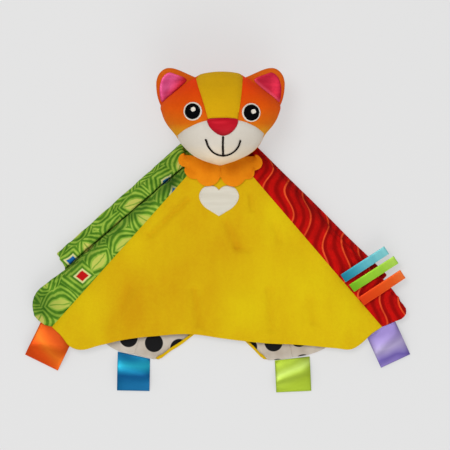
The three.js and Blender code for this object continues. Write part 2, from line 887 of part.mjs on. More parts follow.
// Where each tag's seam starts and ends, as shares of the blanket's side, which way it hangs,
// and its share of the tag length.
const cornerTagShares = [
  ["tag_orange", [-0.5657, -0.544], [-0.4757, -0.6197], [-0.44, -0.898], 0.95, "#ee6a1c", hemDepth],
  ["tag_blue", [-0.323, -0.6367], [-0.2217, -0.6593], [-0.02, -1], 1.07, "#1a8fc4", 0],
  ["tag_lime", [0.174, -0.6647], [0.2833, -0.652], [0.045, -1], 1, "#a6d13c", 0],
  ["tag_purple", [0.4707, -0.604], [0.553, -0.5423], [0.42, -0.907], 0.98, "#8b78b8", hemDepth],
];
const tagThickness = 2 * satin + tagGap;
const onBlanket = ([x, y]) => [x * blanketSide, y * blanketSide];
for (const [name, start, end, outward, share, colour, level] of cornerTagShares) {
  const base = level ? level - tagThickness : 0;
  const tip = level ? satin : 0;
  const loop = ribbonLoop(
    onBlanket(start),
    onBlanket(end),
    outward,
    tagLength * share,
    satin,
    tagGap,
    base,
    tip,
  );
  addNode(name, loop, colour, 0.4);
}

const streamerShares = [
  ["streamer_teal", [0.3877, -0.392], [0.4003, -0.411], 0.98, "#57c3c0"],
  ["streamer_lime", [0.413, -0.4233], [0.4287, -0.444], 1, "#8ccf3a"],
  ["streamer_orange", [0.4413, -0.455], [0.46, -0.4833], 0.94, "#f07a1e"],
];
for (const [name, start, end, share, colour] of streamerShares) {
  const [from, to] = [onBlanket(end), onBlanket(start)];
  const outward = [to[1] - from[1], from[0] - to[0]];
  const level = topHeight(to[1]) + ridgeBulge + streamerLift;
  const length = streamerLength * share;
  const loop = ribbonLoop(from, to, outward, length, streamerCloth, streamerGap, level, level);
  addNode(name, loop, colour, 0.4);
}

// The whole toy stands over the middle of its footprint.
const box = new THREE.Box3().setFromObject(toy);
const centre = box.getCenter(new THREE.Vector3());
toy.position.set(-centre.x, -centre.y, -box.min.z);

export default toy;
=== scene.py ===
# Comfort blanket with a stuffed cat's head, lying face up on a pale table.
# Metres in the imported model's frame: +Z up, +Y towards the top of the head.
# Tables whose names end in Shares hold multiples of a size that is named where they are used.

import math

import bmesh
import bpy
import numpy as np
from mathutils import Matrix, Vector, noise
from mathutils.bvhtree import BVHTree
from mathutils.kdtree import KDTree


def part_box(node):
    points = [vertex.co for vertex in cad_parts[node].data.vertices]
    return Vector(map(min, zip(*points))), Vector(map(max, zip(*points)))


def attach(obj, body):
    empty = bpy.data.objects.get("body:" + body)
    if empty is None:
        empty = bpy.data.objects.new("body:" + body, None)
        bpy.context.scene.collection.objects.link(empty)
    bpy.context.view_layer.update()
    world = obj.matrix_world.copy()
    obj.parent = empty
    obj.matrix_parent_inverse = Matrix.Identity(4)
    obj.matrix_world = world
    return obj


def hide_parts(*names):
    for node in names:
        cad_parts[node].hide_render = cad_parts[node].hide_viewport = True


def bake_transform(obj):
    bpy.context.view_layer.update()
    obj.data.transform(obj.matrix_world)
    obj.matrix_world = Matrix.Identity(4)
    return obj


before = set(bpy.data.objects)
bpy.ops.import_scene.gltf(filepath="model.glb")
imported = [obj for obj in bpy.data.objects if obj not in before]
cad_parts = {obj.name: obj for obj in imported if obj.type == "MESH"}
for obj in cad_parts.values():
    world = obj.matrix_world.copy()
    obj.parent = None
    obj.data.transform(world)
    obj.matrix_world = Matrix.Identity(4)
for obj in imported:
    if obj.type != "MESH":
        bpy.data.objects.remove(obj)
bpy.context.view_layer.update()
scene = bpy.context.scene
scene.view_settings.view_transform = "Standard"
up = Vector((0, 0, 1))

# everything is laid out round the neck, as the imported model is
neckLow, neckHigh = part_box("neck_stuffing")
neck = (neckLow + neckHigh) / 2
neckPlan = np.array([neck.x, neck.y, 0.0])
print("frame loaded,", len(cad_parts), "nodes")


# small tools

def paint(code):
    parts = [int(code[i:i + 2], 16) / 255 for i in (1, 3, 5)]
    return [c / 12.92 if c <= 0.04045 else ((c + 0.055) / 1.055) ** 2.4 for c in parts] + [1.0]


def ease(value, low, high):
    t = np.clip((value - low) / (high - low), 0, 1)
    return t * t * (3 - 2 * t)


def mix(a, b, share):
    return a + (b - a) * share


def unit(vectors):
    return vectors / np.maximum(np.linalg.norm(vectors, axis=-1, keepdims=True), 1e-12)


# smooth lines through rows of chosen points, which lie along the second axis
def smoothThrough(points, at, wanted):
    slope = np.gradient(points, at, axis=1)
    k = np.clip(np.searchsorted(at, wanted, side="right") - 1, 0, len(at) - 2)
    stretch = (at[k + 1] - at[k])[None, :, None]
    t = ((wanted - at[k]) / (at[k + 1] - at[k]))[None, :, None]
    stay = (1 + 2 * t) * (1 - t) ** 2 * points[:, k] + t * t * (3 - 2 * t) * points[:, k + 1]
    return stay + stretch * (t * (1 - t) ** 2 * slope[:, k] - t * t * (1 - t) * slope[:, k + 1])


# the same for a table whose first column tells where its rows lie
def smoothValues(table, wanted):
    rows = np.array(table, float)
    return smoothThrough(rows[None, :, 1:], rows[:, 0], np.clip(wanted, rows[0, 0], rows[-1, 0]))[0]


# a smooth closed or open outline through a few points
def smoothOutline(points, count, closed=True):
    ring = np.array(points, float)
    if closed:
        ring = np.concatenate([ring[-3:], ring, ring[:4]])
    step = np.linalg.norm(np.diff(ring, axis=0), axis=1)
    at = np.concatenate([[0], np.cumsum(step)])
    start, end = (at[3], at[-4]) if closed else (0, at[-1])
    wanted = np.linspace(start, end, count, endpoint=not closed)
    return smoothThrough(ring[None], at, wanted)[0]


def linked(name, data):
    piece = bpy.data.objects.new(name, data)
    scene.collection.objects.link(piece)
    return piece


def newPiece(name, points, faces, material, uvs=None):
    mesh = bpy.data.meshes.new(name)
    mesh.from_pydata(np.asarray(points, float).tolist(), [], [list(map(int, f)) for f in faces])
    if uvs is not None:
        corners = np.zeros(len(mesh.loops), int)
        mesh.loops.foreach_get("vertex_index", corners)
        layer = mesh.uv_layers.new(name="cloth")
        layer.data.foreach_set("uv", np.asarray(uvs, np.float32)[corners].ravel())
    mesh.materials.append(material)
    mesh.shade_smooth()
    return linked(name, mesh)


# a piece made from a bmesh, which is then freed
def pieceFrom(bm, name, material):
    mesh = bpy.data.meshes.new(name)
    bm.to_mesh(mesh)
    bm.free()
    mesh.materials.append(material)
    mesh.shade_smooth()
    return linked(name, mesh)


def turnOutwards(mesh):
    bm = bmesh.new()
    bm.from_mesh(mesh)
    bmesh.ops.recalc_face_normals(bm, faces=bm.faces)
    bm.to_mesh(mesh)
    bm.free()


def finishPiece(piece, body, slot, *nodes):
    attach(piece, body)
    if nodes:
        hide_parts(*nodes)


# shader tools

def put(tree, kind, inputs=None, **settings):
    node = tree.nodes.new(kind)
    for name, value in settings.items():
        setattr(node, name, value)
    for key, value in (inputs or {}).items():
        if isinstance(value, bpy.types.NodeSocket):
            tree.links.new(value, node.inputs[key])
        else:
            node.inputs[key].default_value = value
    return node


def made(tree, kind, inputs=None, **settings):
    return put(tree, kind, inputs, **settings).outputs[0]


def calc(tree, operation, a, b=0.0, c=0.0):
    return made(tree, "ShaderNodeMath", {0: a, 1: b, 2: c}, operation=operation)


def vectorCalc(tree, operation, a, b):
    return put(tree, "ShaderNodeVectorMath", {0: a, 1: b}, operation=operation).outputs


def axes(tree, vector):
    return put(tree, "ShaderNodeSeparateXYZ", {0: vector}).outputs[:2]


# an angle that makes one full turn over each period
def turnsOver(tree, value, period):
    return calc(tree, "MULTIPLY", calc(tree, "DIVIDE", value, period), 2 * math.pi)


# either colour may be a socket or a paint code
def blendColour(tree, share, a, b):
    a, b = (paint(colour) if isinstance(colour, str) else colour for colour in (a, b))
    return put(tree, "ShaderNodeMix", {0: share, 6: a, 7: b}, data_type="RGBA").outputs[2]


def span(tree, value, low, high, first=0.0, last=1.0):
    inputs = {"Value": value, "From Min": low, "From Max": high, "To Min": first, "To Max": last}
    return made(tree, "ShaderNodeMapRange", inputs)


def grainNoise(tree, vector, size, detail=2.0, rough=0.5):
    scale = calc(tree, "DIVIDE", 1.0, size)
    inputs = {"Vector": vector, "Scale": scale, "Detail": detail, "Roughness": rough}
    return made(tree, "ShaderNodeTexNoise", inputs)


# noise seldom leaves these levels
noiseRange = (0.3, 0.7)


# a socket's value tells its kind, and one without a value is of the kind that it is named after
def newTree(kind, name, takes, gives, givenKind):
    kinds = {float: "Float", int: "Int", tuple: "Vector"}
    tree = bpy.data.node_groups.new(name, kind)
    for label, value in takes.items():
        takenKind = "NodeSocket" + kinds.get(type(value), label)
        socket = tree.interface.new_socket(label, in_out="INPUT", socket_type=takenKind)
        if value is not None:
            socket.default_value = value
    for label in gives:
        tree.interface.new_socket(label, in_out="OUTPUT", socket_type="NodeSocket" + givenKind)
    return tree, tree.nodes.new("NodeGroupInput").outputs, tree.nodes.new("NodeGroupOutput").inputs


# every pattern takes a place, on the cloth or in space, and its own sizes
def newPattern(name, takes, gives):
    return newTree("ShaderNodeTree", name, {"Vector": None, **takes}, gives, "Float")


# plain weave: warp and weft cross over and under, with a little loose fibre
def buildWeave():
    takes = {"Thread": 0.0006, "Fuzz": 0.3}
    tree, taken, given = newPattern("plainWeave", takes, ["Height"])
    waves = []
    for part in axes(tree, taken["Vector"]):
        turns = calc(tree, "MULTIPLY", calc(tree, "DIVIDE", part, taken["Thread"]), math.pi)
        waves.append(calc(tree, "SINE", turns))
    crossing = calc(tree, "MULTIPLY", waves[0], waves[1])
    fibre = grainNoise(tree, taken["Vector"], taken["Thread"])
    fuzzed = calc(tree, "MULTIPLY_ADD", fibre, taken["Fuzz"], crossing)
    tree.links.new(fuzzed, given["Height"])
    return tree


# velour and felt: short fibres, and patches where the pile lies another way
def buildNap():
    takes = {
        "Fibre": 0.0005, "Clump": 5.0, "Clumping": 0.6, "Patch": 0.03, "Stretch": (1.0, 0.45, 1.0),
        "Speck": 0.35,
    }
    tree, taken, given = newPattern("napPile", takes, ["Height", "Shade"])
    fibre = grainNoise(tree, taken["Vector"], taken["Fibre"], detail=3.0, rough=0.6)
    clumpSize = calc(tree, "MULTIPLY", taken["Fibre"], taken["Clump"])
    clump = grainNoise(tree, taken["Vector"], clumpSize, rough=0.6)
    height = calc(tree, "MULTIPLY_ADD", clump, taken["Clumping"], fibre)
    brushed = vectorCalc(tree, "MULTIPLY", taken["Vector"], taken["Stretch"])[0]
    patch = grainNoise(tree, brushed, taken["Patch"], detail=3.0, rough=0.55)
    speck = calc(tree, "MULTIPLY_ADD", calc(tree, "SUBTRACT", clump, 0.5), taken["Speck"], patch)
    tree.links.new(height, given["Height"])
    tree.links.new(span(tree, speck, *noiseRange), given["Shade"])
    return tree


# satin: fine cross ribs and long soft streaks
def buildSatin():
    takes = {"Rib": 0.0005, "Streak": 0.006, "Stretch": 0.15}
    tree, taken, given = newPattern("satinRib", takes, ["Height", "Shade"])
    across, along = axes(tree, taken["Vector"])
    stretched = calc(tree, "MULTIPLY", across, taken["Stretch"])
    long = made(tree, "ShaderNodeCombineXYZ", {0: stretched, 1: along})
    streak = grainNoise(tree, long, taken["Streak"], detail=3.0)
    tree.links.new(calc(tree, "SINE", turnsOver(tree, along, taken["Rib"])), given["Height"])
    tree.links.new(span(tree, streak, *noiseRange), given["Shade"])
    return tree


# round dots on a square lattice
def buildDots():
    takes = {"Spacing": 0.0245, "Radius": 0.0086, "Blur": 0.00015}
    tree, taken, given = newPattern("dotPrint", takes, ["Dot"])
    away = []
    for part in axes(tree, taken["Vector"]):
        cell = calc(tree, "FRACT", calc(tree, "ADD", calc(tree, "DIVIDE", part, taken["Spacing"]), 0.5))
        away.append(calc(tree, "MULTIPLY", calc(tree, "SUBTRACT", cell, 0.5), taken["Spacing"]))
    square = calc(tree, "MULTIPLY_ADD", away[0], away[0], calc(tree, "MULTIPLY", away[1], away[1]))
    inside = calc(tree, "SUBTRACT", taken["Radius"], calc(tree, "SQRT", square))
    blur = taken["Blur"]
    tree.links.new(span(tree, inside, calc(tree, "MULTIPLY", blur, -1.0), blur), given["Dot"])
    return tree


# lengths in the leaf print are shares of its cell, and those in the wave print of its period
leafForm = {
    "halfLength": 0.36, "halfWidth": 0.19, "blur": 0.03, "midrib": 0.02, "midribBlur": 0.012,
    "diamond": (0.22, 0.17), "diamondEdge": (1.08, 0.92), "ringEdge": (1.5, 1.35), "outside": 0.16,
    "scatter": 0.4, "rippleEdge": (-0.5, 0.8),
}
waveForm = {"line": (0.03, 0.055), "bandEdge": (-0.5, 0.9)}


# scattered leaves, each turned its own way among rippling lines, and a few diamonds between them
def buildLeaves():
    takes = {"Cell": 0.029, "Diamonds": 0.34, "Ripple": 0.19, "Start": (7.0, 3.0, 0.0)}
    gives = ["Leaf", "Vein", "Ripple", "Diamond", "Ring", "Pick"]
    tree, taken, given = newPattern("leafPrint", takes, gives)
    scale = calc(tree, "DIVIDE", 1.0, taken["Cell"])
    scaled = made(tree, "ShaderNodeVectorMath", {0: taken["Vector"], 3: scale}, operation="SCALE")
    moved = vectorCalc(tree, "ADD", scaled, taken["Start"])[0]
    inputs = {"Vector": moved, "Scale": 1.0, "Randomness": leafForm["scatter"]}
    cells = put(tree, "ShaderNodeTexVoronoi", inputs, voronoi_dimensions="2D").outputs
    dice = put(tree, "ShaderNodeSeparateColor", {0: cells["Color"]}).outputs
    local = vectorCalc(tree, "SUBTRACT", moved, cells["Position"])[0]
    angle = calc(tree, "MULTIPLY", dice[0], 2 * math.pi)
    inputs = {"Vector": local, "Angle": angle}
    turned = made(tree, "ShaderNodeVectorRotate", inputs, rotation_type="Z_AXIS")
    along, aside = axes(tree, turned)
    rise = calc(tree, "DIVIDE", along, leafForm["halfLength"])
    left = calc(tree, "SUBTRACT", 1.0, calc(tree, "MULTIPLY", rise, rise))
    side = calc(tree, "ABSOLUTE", aside)
    inside = calc(tree, "SUBTRACT", calc(tree, "MULTIPLY", left, leafForm["halfWidth"]), side)
    isDiamond = calc(tree, "LESS_THAN", dice[1], taken["Diamonds"])
    isLeaf = calc(tree, "SUBTRACT", 1.0, isDiamond)
    leaf = calc(tree, "MULTIPLY", span(tree, inside, 0.0, leafForm["blur"]), isLeaf)
    midrib = calc(tree, "SUBTRACT", leafForm["midrib"], side)
    blur = leafForm["midribBlur"]
    vein = calc(tree, "MULTIPLY", span(tree, midrib, -blur, blur), leaf)
    high, wide = leafForm["diamond"]
    slant = calc(tree, "ADD", calc(tree, "DIVIDE", calc(tree, "ABSOLUTE", along), high),
                 calc(tree, "DIVIDE", side, wide))
    diamond = calc(tree, "MULTIPLY", span(tree, slant, *leafForm["diamondEdge"]), isDiamond)
    ring = calc(tree, "MULTIPLY", span(tree, slant, *leafForm["ringEdge"]), isDiamond)
    outside = calc(tree, "MULTIPLY", calc(tree, "SUBTRACT", 1.0, slant), leafForm["outside"])
    field = calc(tree, "ADD", calc(tree, "MULTIPLY", inside, isLeaf),
                 calc(tree, "MULTIPLY", outside, isDiamond))
    wave = calc(tree, "COSINE", turnsOver(tree, field, taken["Ripple"]))
    ripple = span(tree, wave, *leafForm["rippleEdge"])
    for label, value in zip(gives, (leaf, vein, ripple, diamond, ring, dice[2])):
        tree.links.new(value, given[label])
    return tree


# wavy stripes that cross the cloth, a little uneven
def buildWaves():
    takes = {"Period": 0.019, "Swing": 0.0045, "Wave": 0.048, "Wander": 0.014, "Reach": 0.045}
    tree, taken, given = newPattern("wavePrint", takes, ["Line", "Band"])
    across, along = axes(tree, taken["Vector"])
    wave = calc(tree, "SINE", turnsOver(tree, across, taken["Wave"]))
    moved = calc(tree, "MULTIPLY_ADD", wave, taken["Swing"], along)
    stray = calc(tree, "SUBTRACT", grainNoise(tree, taken["Vector"], taken["Reach"], detail=1.0), 0.5)
    moved = calc(tree, "MULTIPLY_ADD", stray, taken["Wander"], moved)
    phase = calc(tree, "FRACT", calc(tree, "DIVIDE", moved, taken["Period"]))
    off = calc(tree, "ABSOLUTE", calc(tree, "SUBTRACT", phase, 0.5))
    tree.links.new(span(tree, off, *waveForm["line"], 1.0, 0.0), given["Line"])
    cycle = calc(tree, "SINE", turnsOver(tree, phase, 0.5))
    tree.links.new(span(tree, cycle, *waveForm["bandEdge"]), given["Band"])
    return tree


patterns = {
    "weave": buildWeave(),
    "nap": buildNap(),
    "satin": buildSatin(),
    "dots": buildDots(),
    "leaves": buildLeaves(),
    "waves": buildWaves(),
}


def usePattern(tree, key, inputs):
    return put(tree, "ShaderNodeGroup", inputs, node_tree=patterns[key]).outputs


# relief is the depth of the bump, in metres; the other lengths are widths of threads and patches
finishes = {
    "pile": {"roughness": 0.95, "sheen": 0.03, "specular": 0.08},
    "dyeAndPaintedShading": {"patch": 0.022, "relief": 0.00022, "worn": 0.3},
    "cotton": {"roughness": 0.85, "thread": 0.0005, "relief": 0.00008},
    "satin": {"specular": 0.15, "relief": 0.00001, "unevenness": 0.02},
    "ribbon": {"roughness": 0.38, "gloss": 0.45, "rib": 0.0006, "worn": 0.22, "stray": 0.45, "reach": 0.03},
    "thread": {"roughness": 0.6, "fibre": 0.0006, "relief": 0.0001},
    "fill": {
        "roughness": 1.0, "sheen": 0.1, "fibre": 0.003, "relief": 0.0012, "colours": ("#dedad0", "#fbf9f4"),
    },
}


def newMaterial(name, roughness, sheen=0.0, sheenTint="#ffffff", specular=0.25):
    material = bpy.data.materials.new(name)
    material.use_nodes = True
    tree = material.node_tree
    shader = tree.nodes["Principled BSDF"]
    values = {
        "Roughness": roughness, "Specular IOR Level": specular, "Sheen Weight": sheen,
        "Sheen Roughness": 0.4, "Sheen Tint": paint(sheenTint),
    }
    for key, value in values.items():
        shader.inputs[key].default_value = value
    return material, tree, shader


def dress(tree, shader, colour, height, relief):
    tree.links.new(colour, shader.inputs["Base Color"])
    bump = made(tree, "ShaderNodeBump", {"Height": height, "Distance": relief, "Strength": 1.0})
    tree.links.new(bump, shader.inputs["Normal"])


def spaceVector(tree):
    return put(tree, "ShaderNodeTexCoord").outputs["Object"]


def clothVector(tree):
    return made(tree, "ShaderNodeUVMap", uv_map="cloth")


def pileMaterial(name, tint):
    look = finishes["pile"]
    return newMaterial(name, look["roughness"], look["sheen"], tint, look["specular"])


# random patches where the pile lies another way look lighter or deeper, and a piece's "pile" attribute adds
# painted light and shade
def napMaterial(name, colour, deep, fibre=0.0005, patch=0.03, relief=0.00025, mottle=0.6):
    material, tree, shader = pileMaterial(name, colour)
    nap = usePattern(tree, "nap", {"Vector": spaceVector(tree), "Fibre": fibre, "Patch": patch})
    # the "pile" attribute holds painted light and shade
    brushed = put(tree, "ShaderNodeAttribute", attribute_name="pile").outputs["Fac"]
    share = calc(tree, "MULTIPLY_ADD", calc(tree, "SUBTRACT", nap["Shade"], 0.5), mottle, 0.5)
    share = span(tree, calc(tree, "MULTIPLY_ADD", brushed, 0.5, share), 0.0, 1.0)
    dress(tree, shader, blendColour(tree, share, deep, colour), nap["Height"], relief)
    return material


def colourStops(tree, share, stops):
    ramp = put(tree, "ShaderNodeValToRGB", {0: share})
    places = ramp.color_ramp.elements
    for stop, (place, code) in zip(places, (stops[0], stops[-1])):
        stop.position, stop.color = place, paint(code)
    for place, code in stops[1:-1]:
        places.new(place).color = paint(code)
    return ramp.outputs[0]


# velour whose colour changes from the chin up, between two heights above the neck, with the painted light
# that its stops hold
def dyedMaterial(name, dye):
    look = finishes["dyeAndPaintedShading"]
    material, tree, shader = pileMaterial(name, dye["stops"][0][1])
    vector = spaceVector(tree)
    nap = usePattern(tree, "nap", {"Vector": vector, "Fibre": dye["fibre"], "Patch": look["patch"]})
    rise = span(tree, axes(tree, vector)[1], neck.y + dye["low"], neck.y + dye["high"])
    worn = span(tree, nap["Shade"], 0.0, 1.0, look["worn"], 0.0)
    dyeAndPaintedShading = colourStops(tree, rise, dye["stops"])
    dress(tree, shader, blendColour(tree, worn, dyeAndPaintedShading, dye["deep"]), nap["Height"], look["relief"])
    return material


# how far a point lies from one place towards another, from 0 to 1
def shareBetween(tree, vector, start, end):
    run = Vector((*end, 0)) - Vector((*start, 0))
    off = vectorCalc(tree, "SUBTRACT", vector, (*start, 0))[0]
    part = vectorCalc(tree, "DOT_PRODUCT", off, run / run.length_squared)["Value"]
    return span(tree, part, 0.0, 1.0)


# gloss lets the light that satin throws back keep the dye's colour; painted shading blends it towards a
# darker or lighter colour towards a place
def satinMaterial(name, colour, deep, gloss, roughness=0.38, rib=0.0006, paintedShading=None):
    look = finishes["satin"]
    material, tree, shader = newMaterial(name, roughness, 0.0, colour, look["specular"])
    shader.inputs["Metallic"].default_value = gloss
    vector = spaceVector(tree)
    satin = usePattern(tree, "satin", {"Vector": vector, "Rib": rib})
    sheer = blendColour(tree, satin["Shade"], deep, colour)
    if paintedShading:
        share = shareBetween(tree, vector, paintedShading["start"], paintedShading["end"])
        sheer = blendColour(tree, share, paintedShading["colour"], sheer)
    uneven = look["unevenness"]
    tree.links.new(span(tree, satin["Shade"], 0.0, 1.0, roughness + uneven, roughness - uneven),
                   shader.inputs["Roughness"])
    dress(tree, shader, sheer, satin["Height"], look["relief"])
    return material


# satin ribbon with painted highlight and shade bands along the loop: stops as shares of the loop's length
def ribbonMaterial(name, length, stops, slant):
    look, shine = finishes["ribbon"], finishes["satin"]
    material, tree, shader = newMaterial(name, look["roughness"], 0.0, stops[0][1], shine["specular"])
    shader.inputs["Metallic"].default_value = look["gloss"]
    vector = clothVector(tree)
    satin = usePattern(tree, "satin", {"Vector": vector, "Rib": look["rib"]})
    across, along = axes(tree, vector)
    stray = calc(tree, "SUBTRACT", grainNoise(tree, vector, look["reach"], detail=1.0), 0.5)
    place = calc(tree, "MULTIPLY_ADD", across, slant, along)
    place = calc(tree, "MULTIPLY_ADD", stray, look["stray"] * length, place)
    # colour stops along the loop, with painted highlight and shade bands
    dyeAndPaintedShading = colourStops(tree, calc(tree, "DIVIDE", place, length), stops)
    worn = span(tree, satin["Shade"], 0.0, 1.0, look["worn"], 0.0)
    dress(tree, shader, blendColour(tree, worn, dyeAndPaintedShading, stops[0][1]), satin["Height"], shine["relief"])
    return material


def threadMaterial(name, colour, deep, shine=0.15):
    look = finishes["thread"]
    material, tree, shader = newMaterial(name, look["roughness"], 0.0, colour, shine)
    fibre = grainNoise(tree, spaceVector(tree), look["fibre"], detail=3.0, rough=0.6)
    shade = blendColour(tree, span(tree, fibre, *noiseRange), deep, colour)
    dress(tree, shader, shade, fibre, look["relief"])
    return material


# loose white fibre stuffing
def stuffingMaterial(name):
    look = finishes["fill"]
    material, tree, shader = newMaterial(name, look["roughness"], look["sheen"])
    fibre = grainNoise(tree, spaceVector(tree), look["fibre"], detail=5.0, rough=0.7)
    dress(tree, shader, blendColour(tree, fibre, *look["colours"]), fibre, look["relief"])
    return material


# woven cotton, printed by a function that gives the colour at a place on the cloth
def cottonMaterial(name, printed, sheen=0.0, specular=0.25):
    look = finishes["cotton"]
    material, tree, shader = newMaterial(name, look["roughness"], sheen, "#ffffff", specular)
    vector = clothVector(tree)
    weave = usePattern(tree, "weave", {"Vector": vector, "Thread": look["thread"]})
    dress(tree, shader, printed(tree, vector), weave["Height"], look["relief"])
    return material


# dyes of the prints with the colour of their painted shade in creases, and the size of their worn spots,
# with the noise levels between which they show
dotDyes = {"ground": ("#cfc5b8", "#b6a999"), "dot": "#0b0a0c"}
leafDyes = {
    "ground": ("#3f7016", "#5c9022"), "ripple": ("#80aa34", "#a8c84a"), "leaf": ("#b8c650", "#d2cc66"),
    "vein": "#7fa636", "ring": "#d6d690", "diamond": ("#c01210", "#1560a8"), "creaseShadeColour": "#234a10",
}
waveDyes = {"ground": ("#b00a06", "#cc0e08"), "band": "#960503", "line": "#ec5628", "creaseShadeColour": "#5c0604"}
wear = {
    "dots": {"size": 0.02, "levels": (0.35, 0.7)},
    "leaves": {"size": 0.012, "levels": (0.36, 0.64), "detail": 3.0, "rough": 0.6},
    "waves": {"size": 0.010, "levels": (0.35, 0.65), "detail": 3.0, "rough": 0.6},
    "lines": {"size": 0.02, "levels": (0.35, 0.6), "least": 0.55},
}


def wornShare(tree, vector, key):
    worn = wear[key]
    grain = grainNoise(tree, vector, worn["size"], worn.get("detail", 2.0), worn.get("rough", 0.5))
    return span(tree, grain, *worn["levels"], worn.get("least", 0.0))


def dotPrint(tree, vector):
    dots = usePattern(tree, "dots", {"Vector": vector})
    ground = blendColour(tree, wornShare(tree, vector, "dots"), *dotDyes["ground"])
    return blendColour(tree, dots["Dot"], ground, dotDyes["dot"])


# painted shade: the print darkens where the "pile" attribute is below zero, in creases and hollows
def paintedCreaseShade(tree, colour, deep):
    paintedShadeAmount = put(tree, "ShaderNodeAttribute", attribute_name="pile").outputs["Fac"]
    return blendColour(tree, span(tree, paintedShadeAmount, 0.0, -1.0), colour, deep)


def leafPrint(tree, vector):
    leaves = usePattern(tree, "leaves", {"Vector": vector})
    streaks = wornShare(tree, vector, "leaves")
    deep, bright = (blendColour(tree, streaks, *leafDyes[key]) for key in ("ground", "ripple"))
    colour = blendColour(tree, leaves["Ripple"], deep, bright)
    dabbed = blendColour(tree, leaves["Pick"], *leafDyes["leaf"])
    colour = blendColour(tree, leaves["Leaf"], colour, dabbed)
    colour = blendColour(tree, leaves["Vein"], colour, leafDyes["vein"])
    colour = blendColour(tree, leaves["Ring"], colour, leafDyes["ring"])
    accent = blendColour(tree, calc(tree, "GREATER_THAN", leaves["Pick"], 0.5), *leafDyes["diamond"])
    return paintedCreaseShade(tree, blendColour(tree, leaves["Diamond"], colour, accent), leafDyes["creaseShadeColour"])


def wavePrint(tree, vector):
    waves = usePattern(tree, "waves", {"Vector": vector})
    ground = blendColour(tree, wornShare(tree, vector, "waves"), *waveDyes["ground"])
    colour = blendColour(tree, waves["Band"], ground, waveDyes["band"])
    line = calc(tree, "MULTIPLY", waves["Line"], wornShare(tree, vector, "lines"))
    return paintedCreaseShade(tree, blendColour(tree, line, colour, waveDyes["line"]), waveDyes["creaseShadeColour"])


# heights above the neck and colours from the lower to the upper; the upper cheek stops near the ears and
# the lower muzzle stops at the chin are lightened as painted light, where the head turns from the lamps
dyes = {
    "cheek": {"low": 0.012, "high": 0.074, "deep": "#b83604", "fibre": 0.0005, "stops": [
        (0.05, "#dc9c1c"), (0.18, "#da700e"), (0.4, "#e25a08"), (0.75, "#f04206"), (1.0, "#fc3a02"),
    ]},
    "ear": {"low": 0.042, "high": 0.080, "deep": "#bc4408", "fibre": 0.0005, "stops": [
        (0.0, "#d2480c"), (0.5, "#d45a10"), (1.0, "#d86c18"),
    ]},
    "muzzle": {"low": -0.016, "high": 0.024, "deep": "#bdb4a4", "fibre": 0.0004, "stops": [
        (0.0, "#eec698"), (0.22, "#e8d8c0"), (0.5, "#d8d0c3"), (1.0, "#d6d0c6"),
    ]},
}
# lengths of the ribbon loops, and each ribbon's slant and colours from the seam to the end of the loop,
# with painted highlight and shade bands across them
loops = {"Tag": 0.032, "Streamer": 0.048}
ribbonDyesAndSheen = {
    "orangeTag": (-0.3, [
        (0.0, "#c04806"), (0.22, "#cc580a"), (0.45, "#dc6c14"), (0.72, "#da4e08"), (1.0, "#d24206"),
    ]),
    "blueTag": (0.25, [
        (0.0, "#085e90"), (0.2, "#0e7ca6"), (0.42, "#24aac4"), (0.6, "#0e80aa"), (0.75, "#04548a"),
        (1.0, "#065e8c"),
    ]),
    "limeTag": (0.35, [
        (0.0, "#94aa2a"), (0.3, "#a2ba3c"), (0.5, "#b8d064"), (0.68, "#a0b83a"), (1.0, "#94aa28"),
    ]),
    "purpleTag": (-0.3, [
        (0.0, "#7c6ca2"), (0.25, "#9484b8"), (0.5, "#b0a4ca"), (0.7, "#8476ae"), (0.82, "#5e4e96"),
        (1.0, "#7868a8"),
    ]),
    "tealStreamer": (0.0, [(0.0, "#1c7c94"), (0.25, "#3a9cae"), (0.6, "#66bcc6"), (1.0, "#86d0d2")]),
    "limeStreamer": (0.0, [(0.0, "#6fae1c"), (0.3, "#8ec62c"), (0.6, "#98cc34"), (1.0, "#b0d854")]),
    "orangeStreamer": (0.0, [(0.0, "#d83c0a"), (0.4, "#de4a10"), (0.8, "#e8601e"), (1.0, "#ee7434")]),
}
materials = {material.name: material for material in (
    napMaterial("yellowVelour", "#dcc00e", "#cc980a", mottle=0.45),
    napMaterial("foreheadVelour", "#daaa0c", "#cc9a0a", mottle=0.5),
    napMaterial("orangeFelt", "#f09214", "#e2820e", fibre=0.0007, patch=0.012, relief=0.0004),
    dyedMaterial("orangeVelour", dyes["cheek"]),
    dyedMaterial("earVelour", dyes["ear"]),
    dyedMaterial("creamVelour", dyes["muzzle"]),
    cottonMaterial("leafCotton", leafPrint, specular=0.12),
    cottonMaterial("waveCotton", wavePrint, specular=0.08),
    cottonMaterial("dottedCotton", dotPrint, sheen=0.05),
    stuffingMaterial("whiteFill"),
    satinMaterial("whiteSatin", "#dad6c8", "#cdc8b8", gloss=0.0, roughness=0.5, rib=0.0005),
    threadMaterial("brownThread", "#201712", "#120c09", shine=0.05),
    threadMaterial("whiteThread", "#f2ebe0", "#dcd3c4"),
    threadMaterial("blackThread", "#08070a", "#030203", shine=0.04),
    threadMaterial("crimsonThread", "#b81230", "#8c0c20"),
)}
for name, (slant, stops) in ribbonDyesAndSheen.items():
    length = loops["Tag" if name.endswith("Tag") else "Streamer"]
    materials[name] = ribbonMaterial(name, length, stops, slant)
print("materials ready")


# camera, table and light

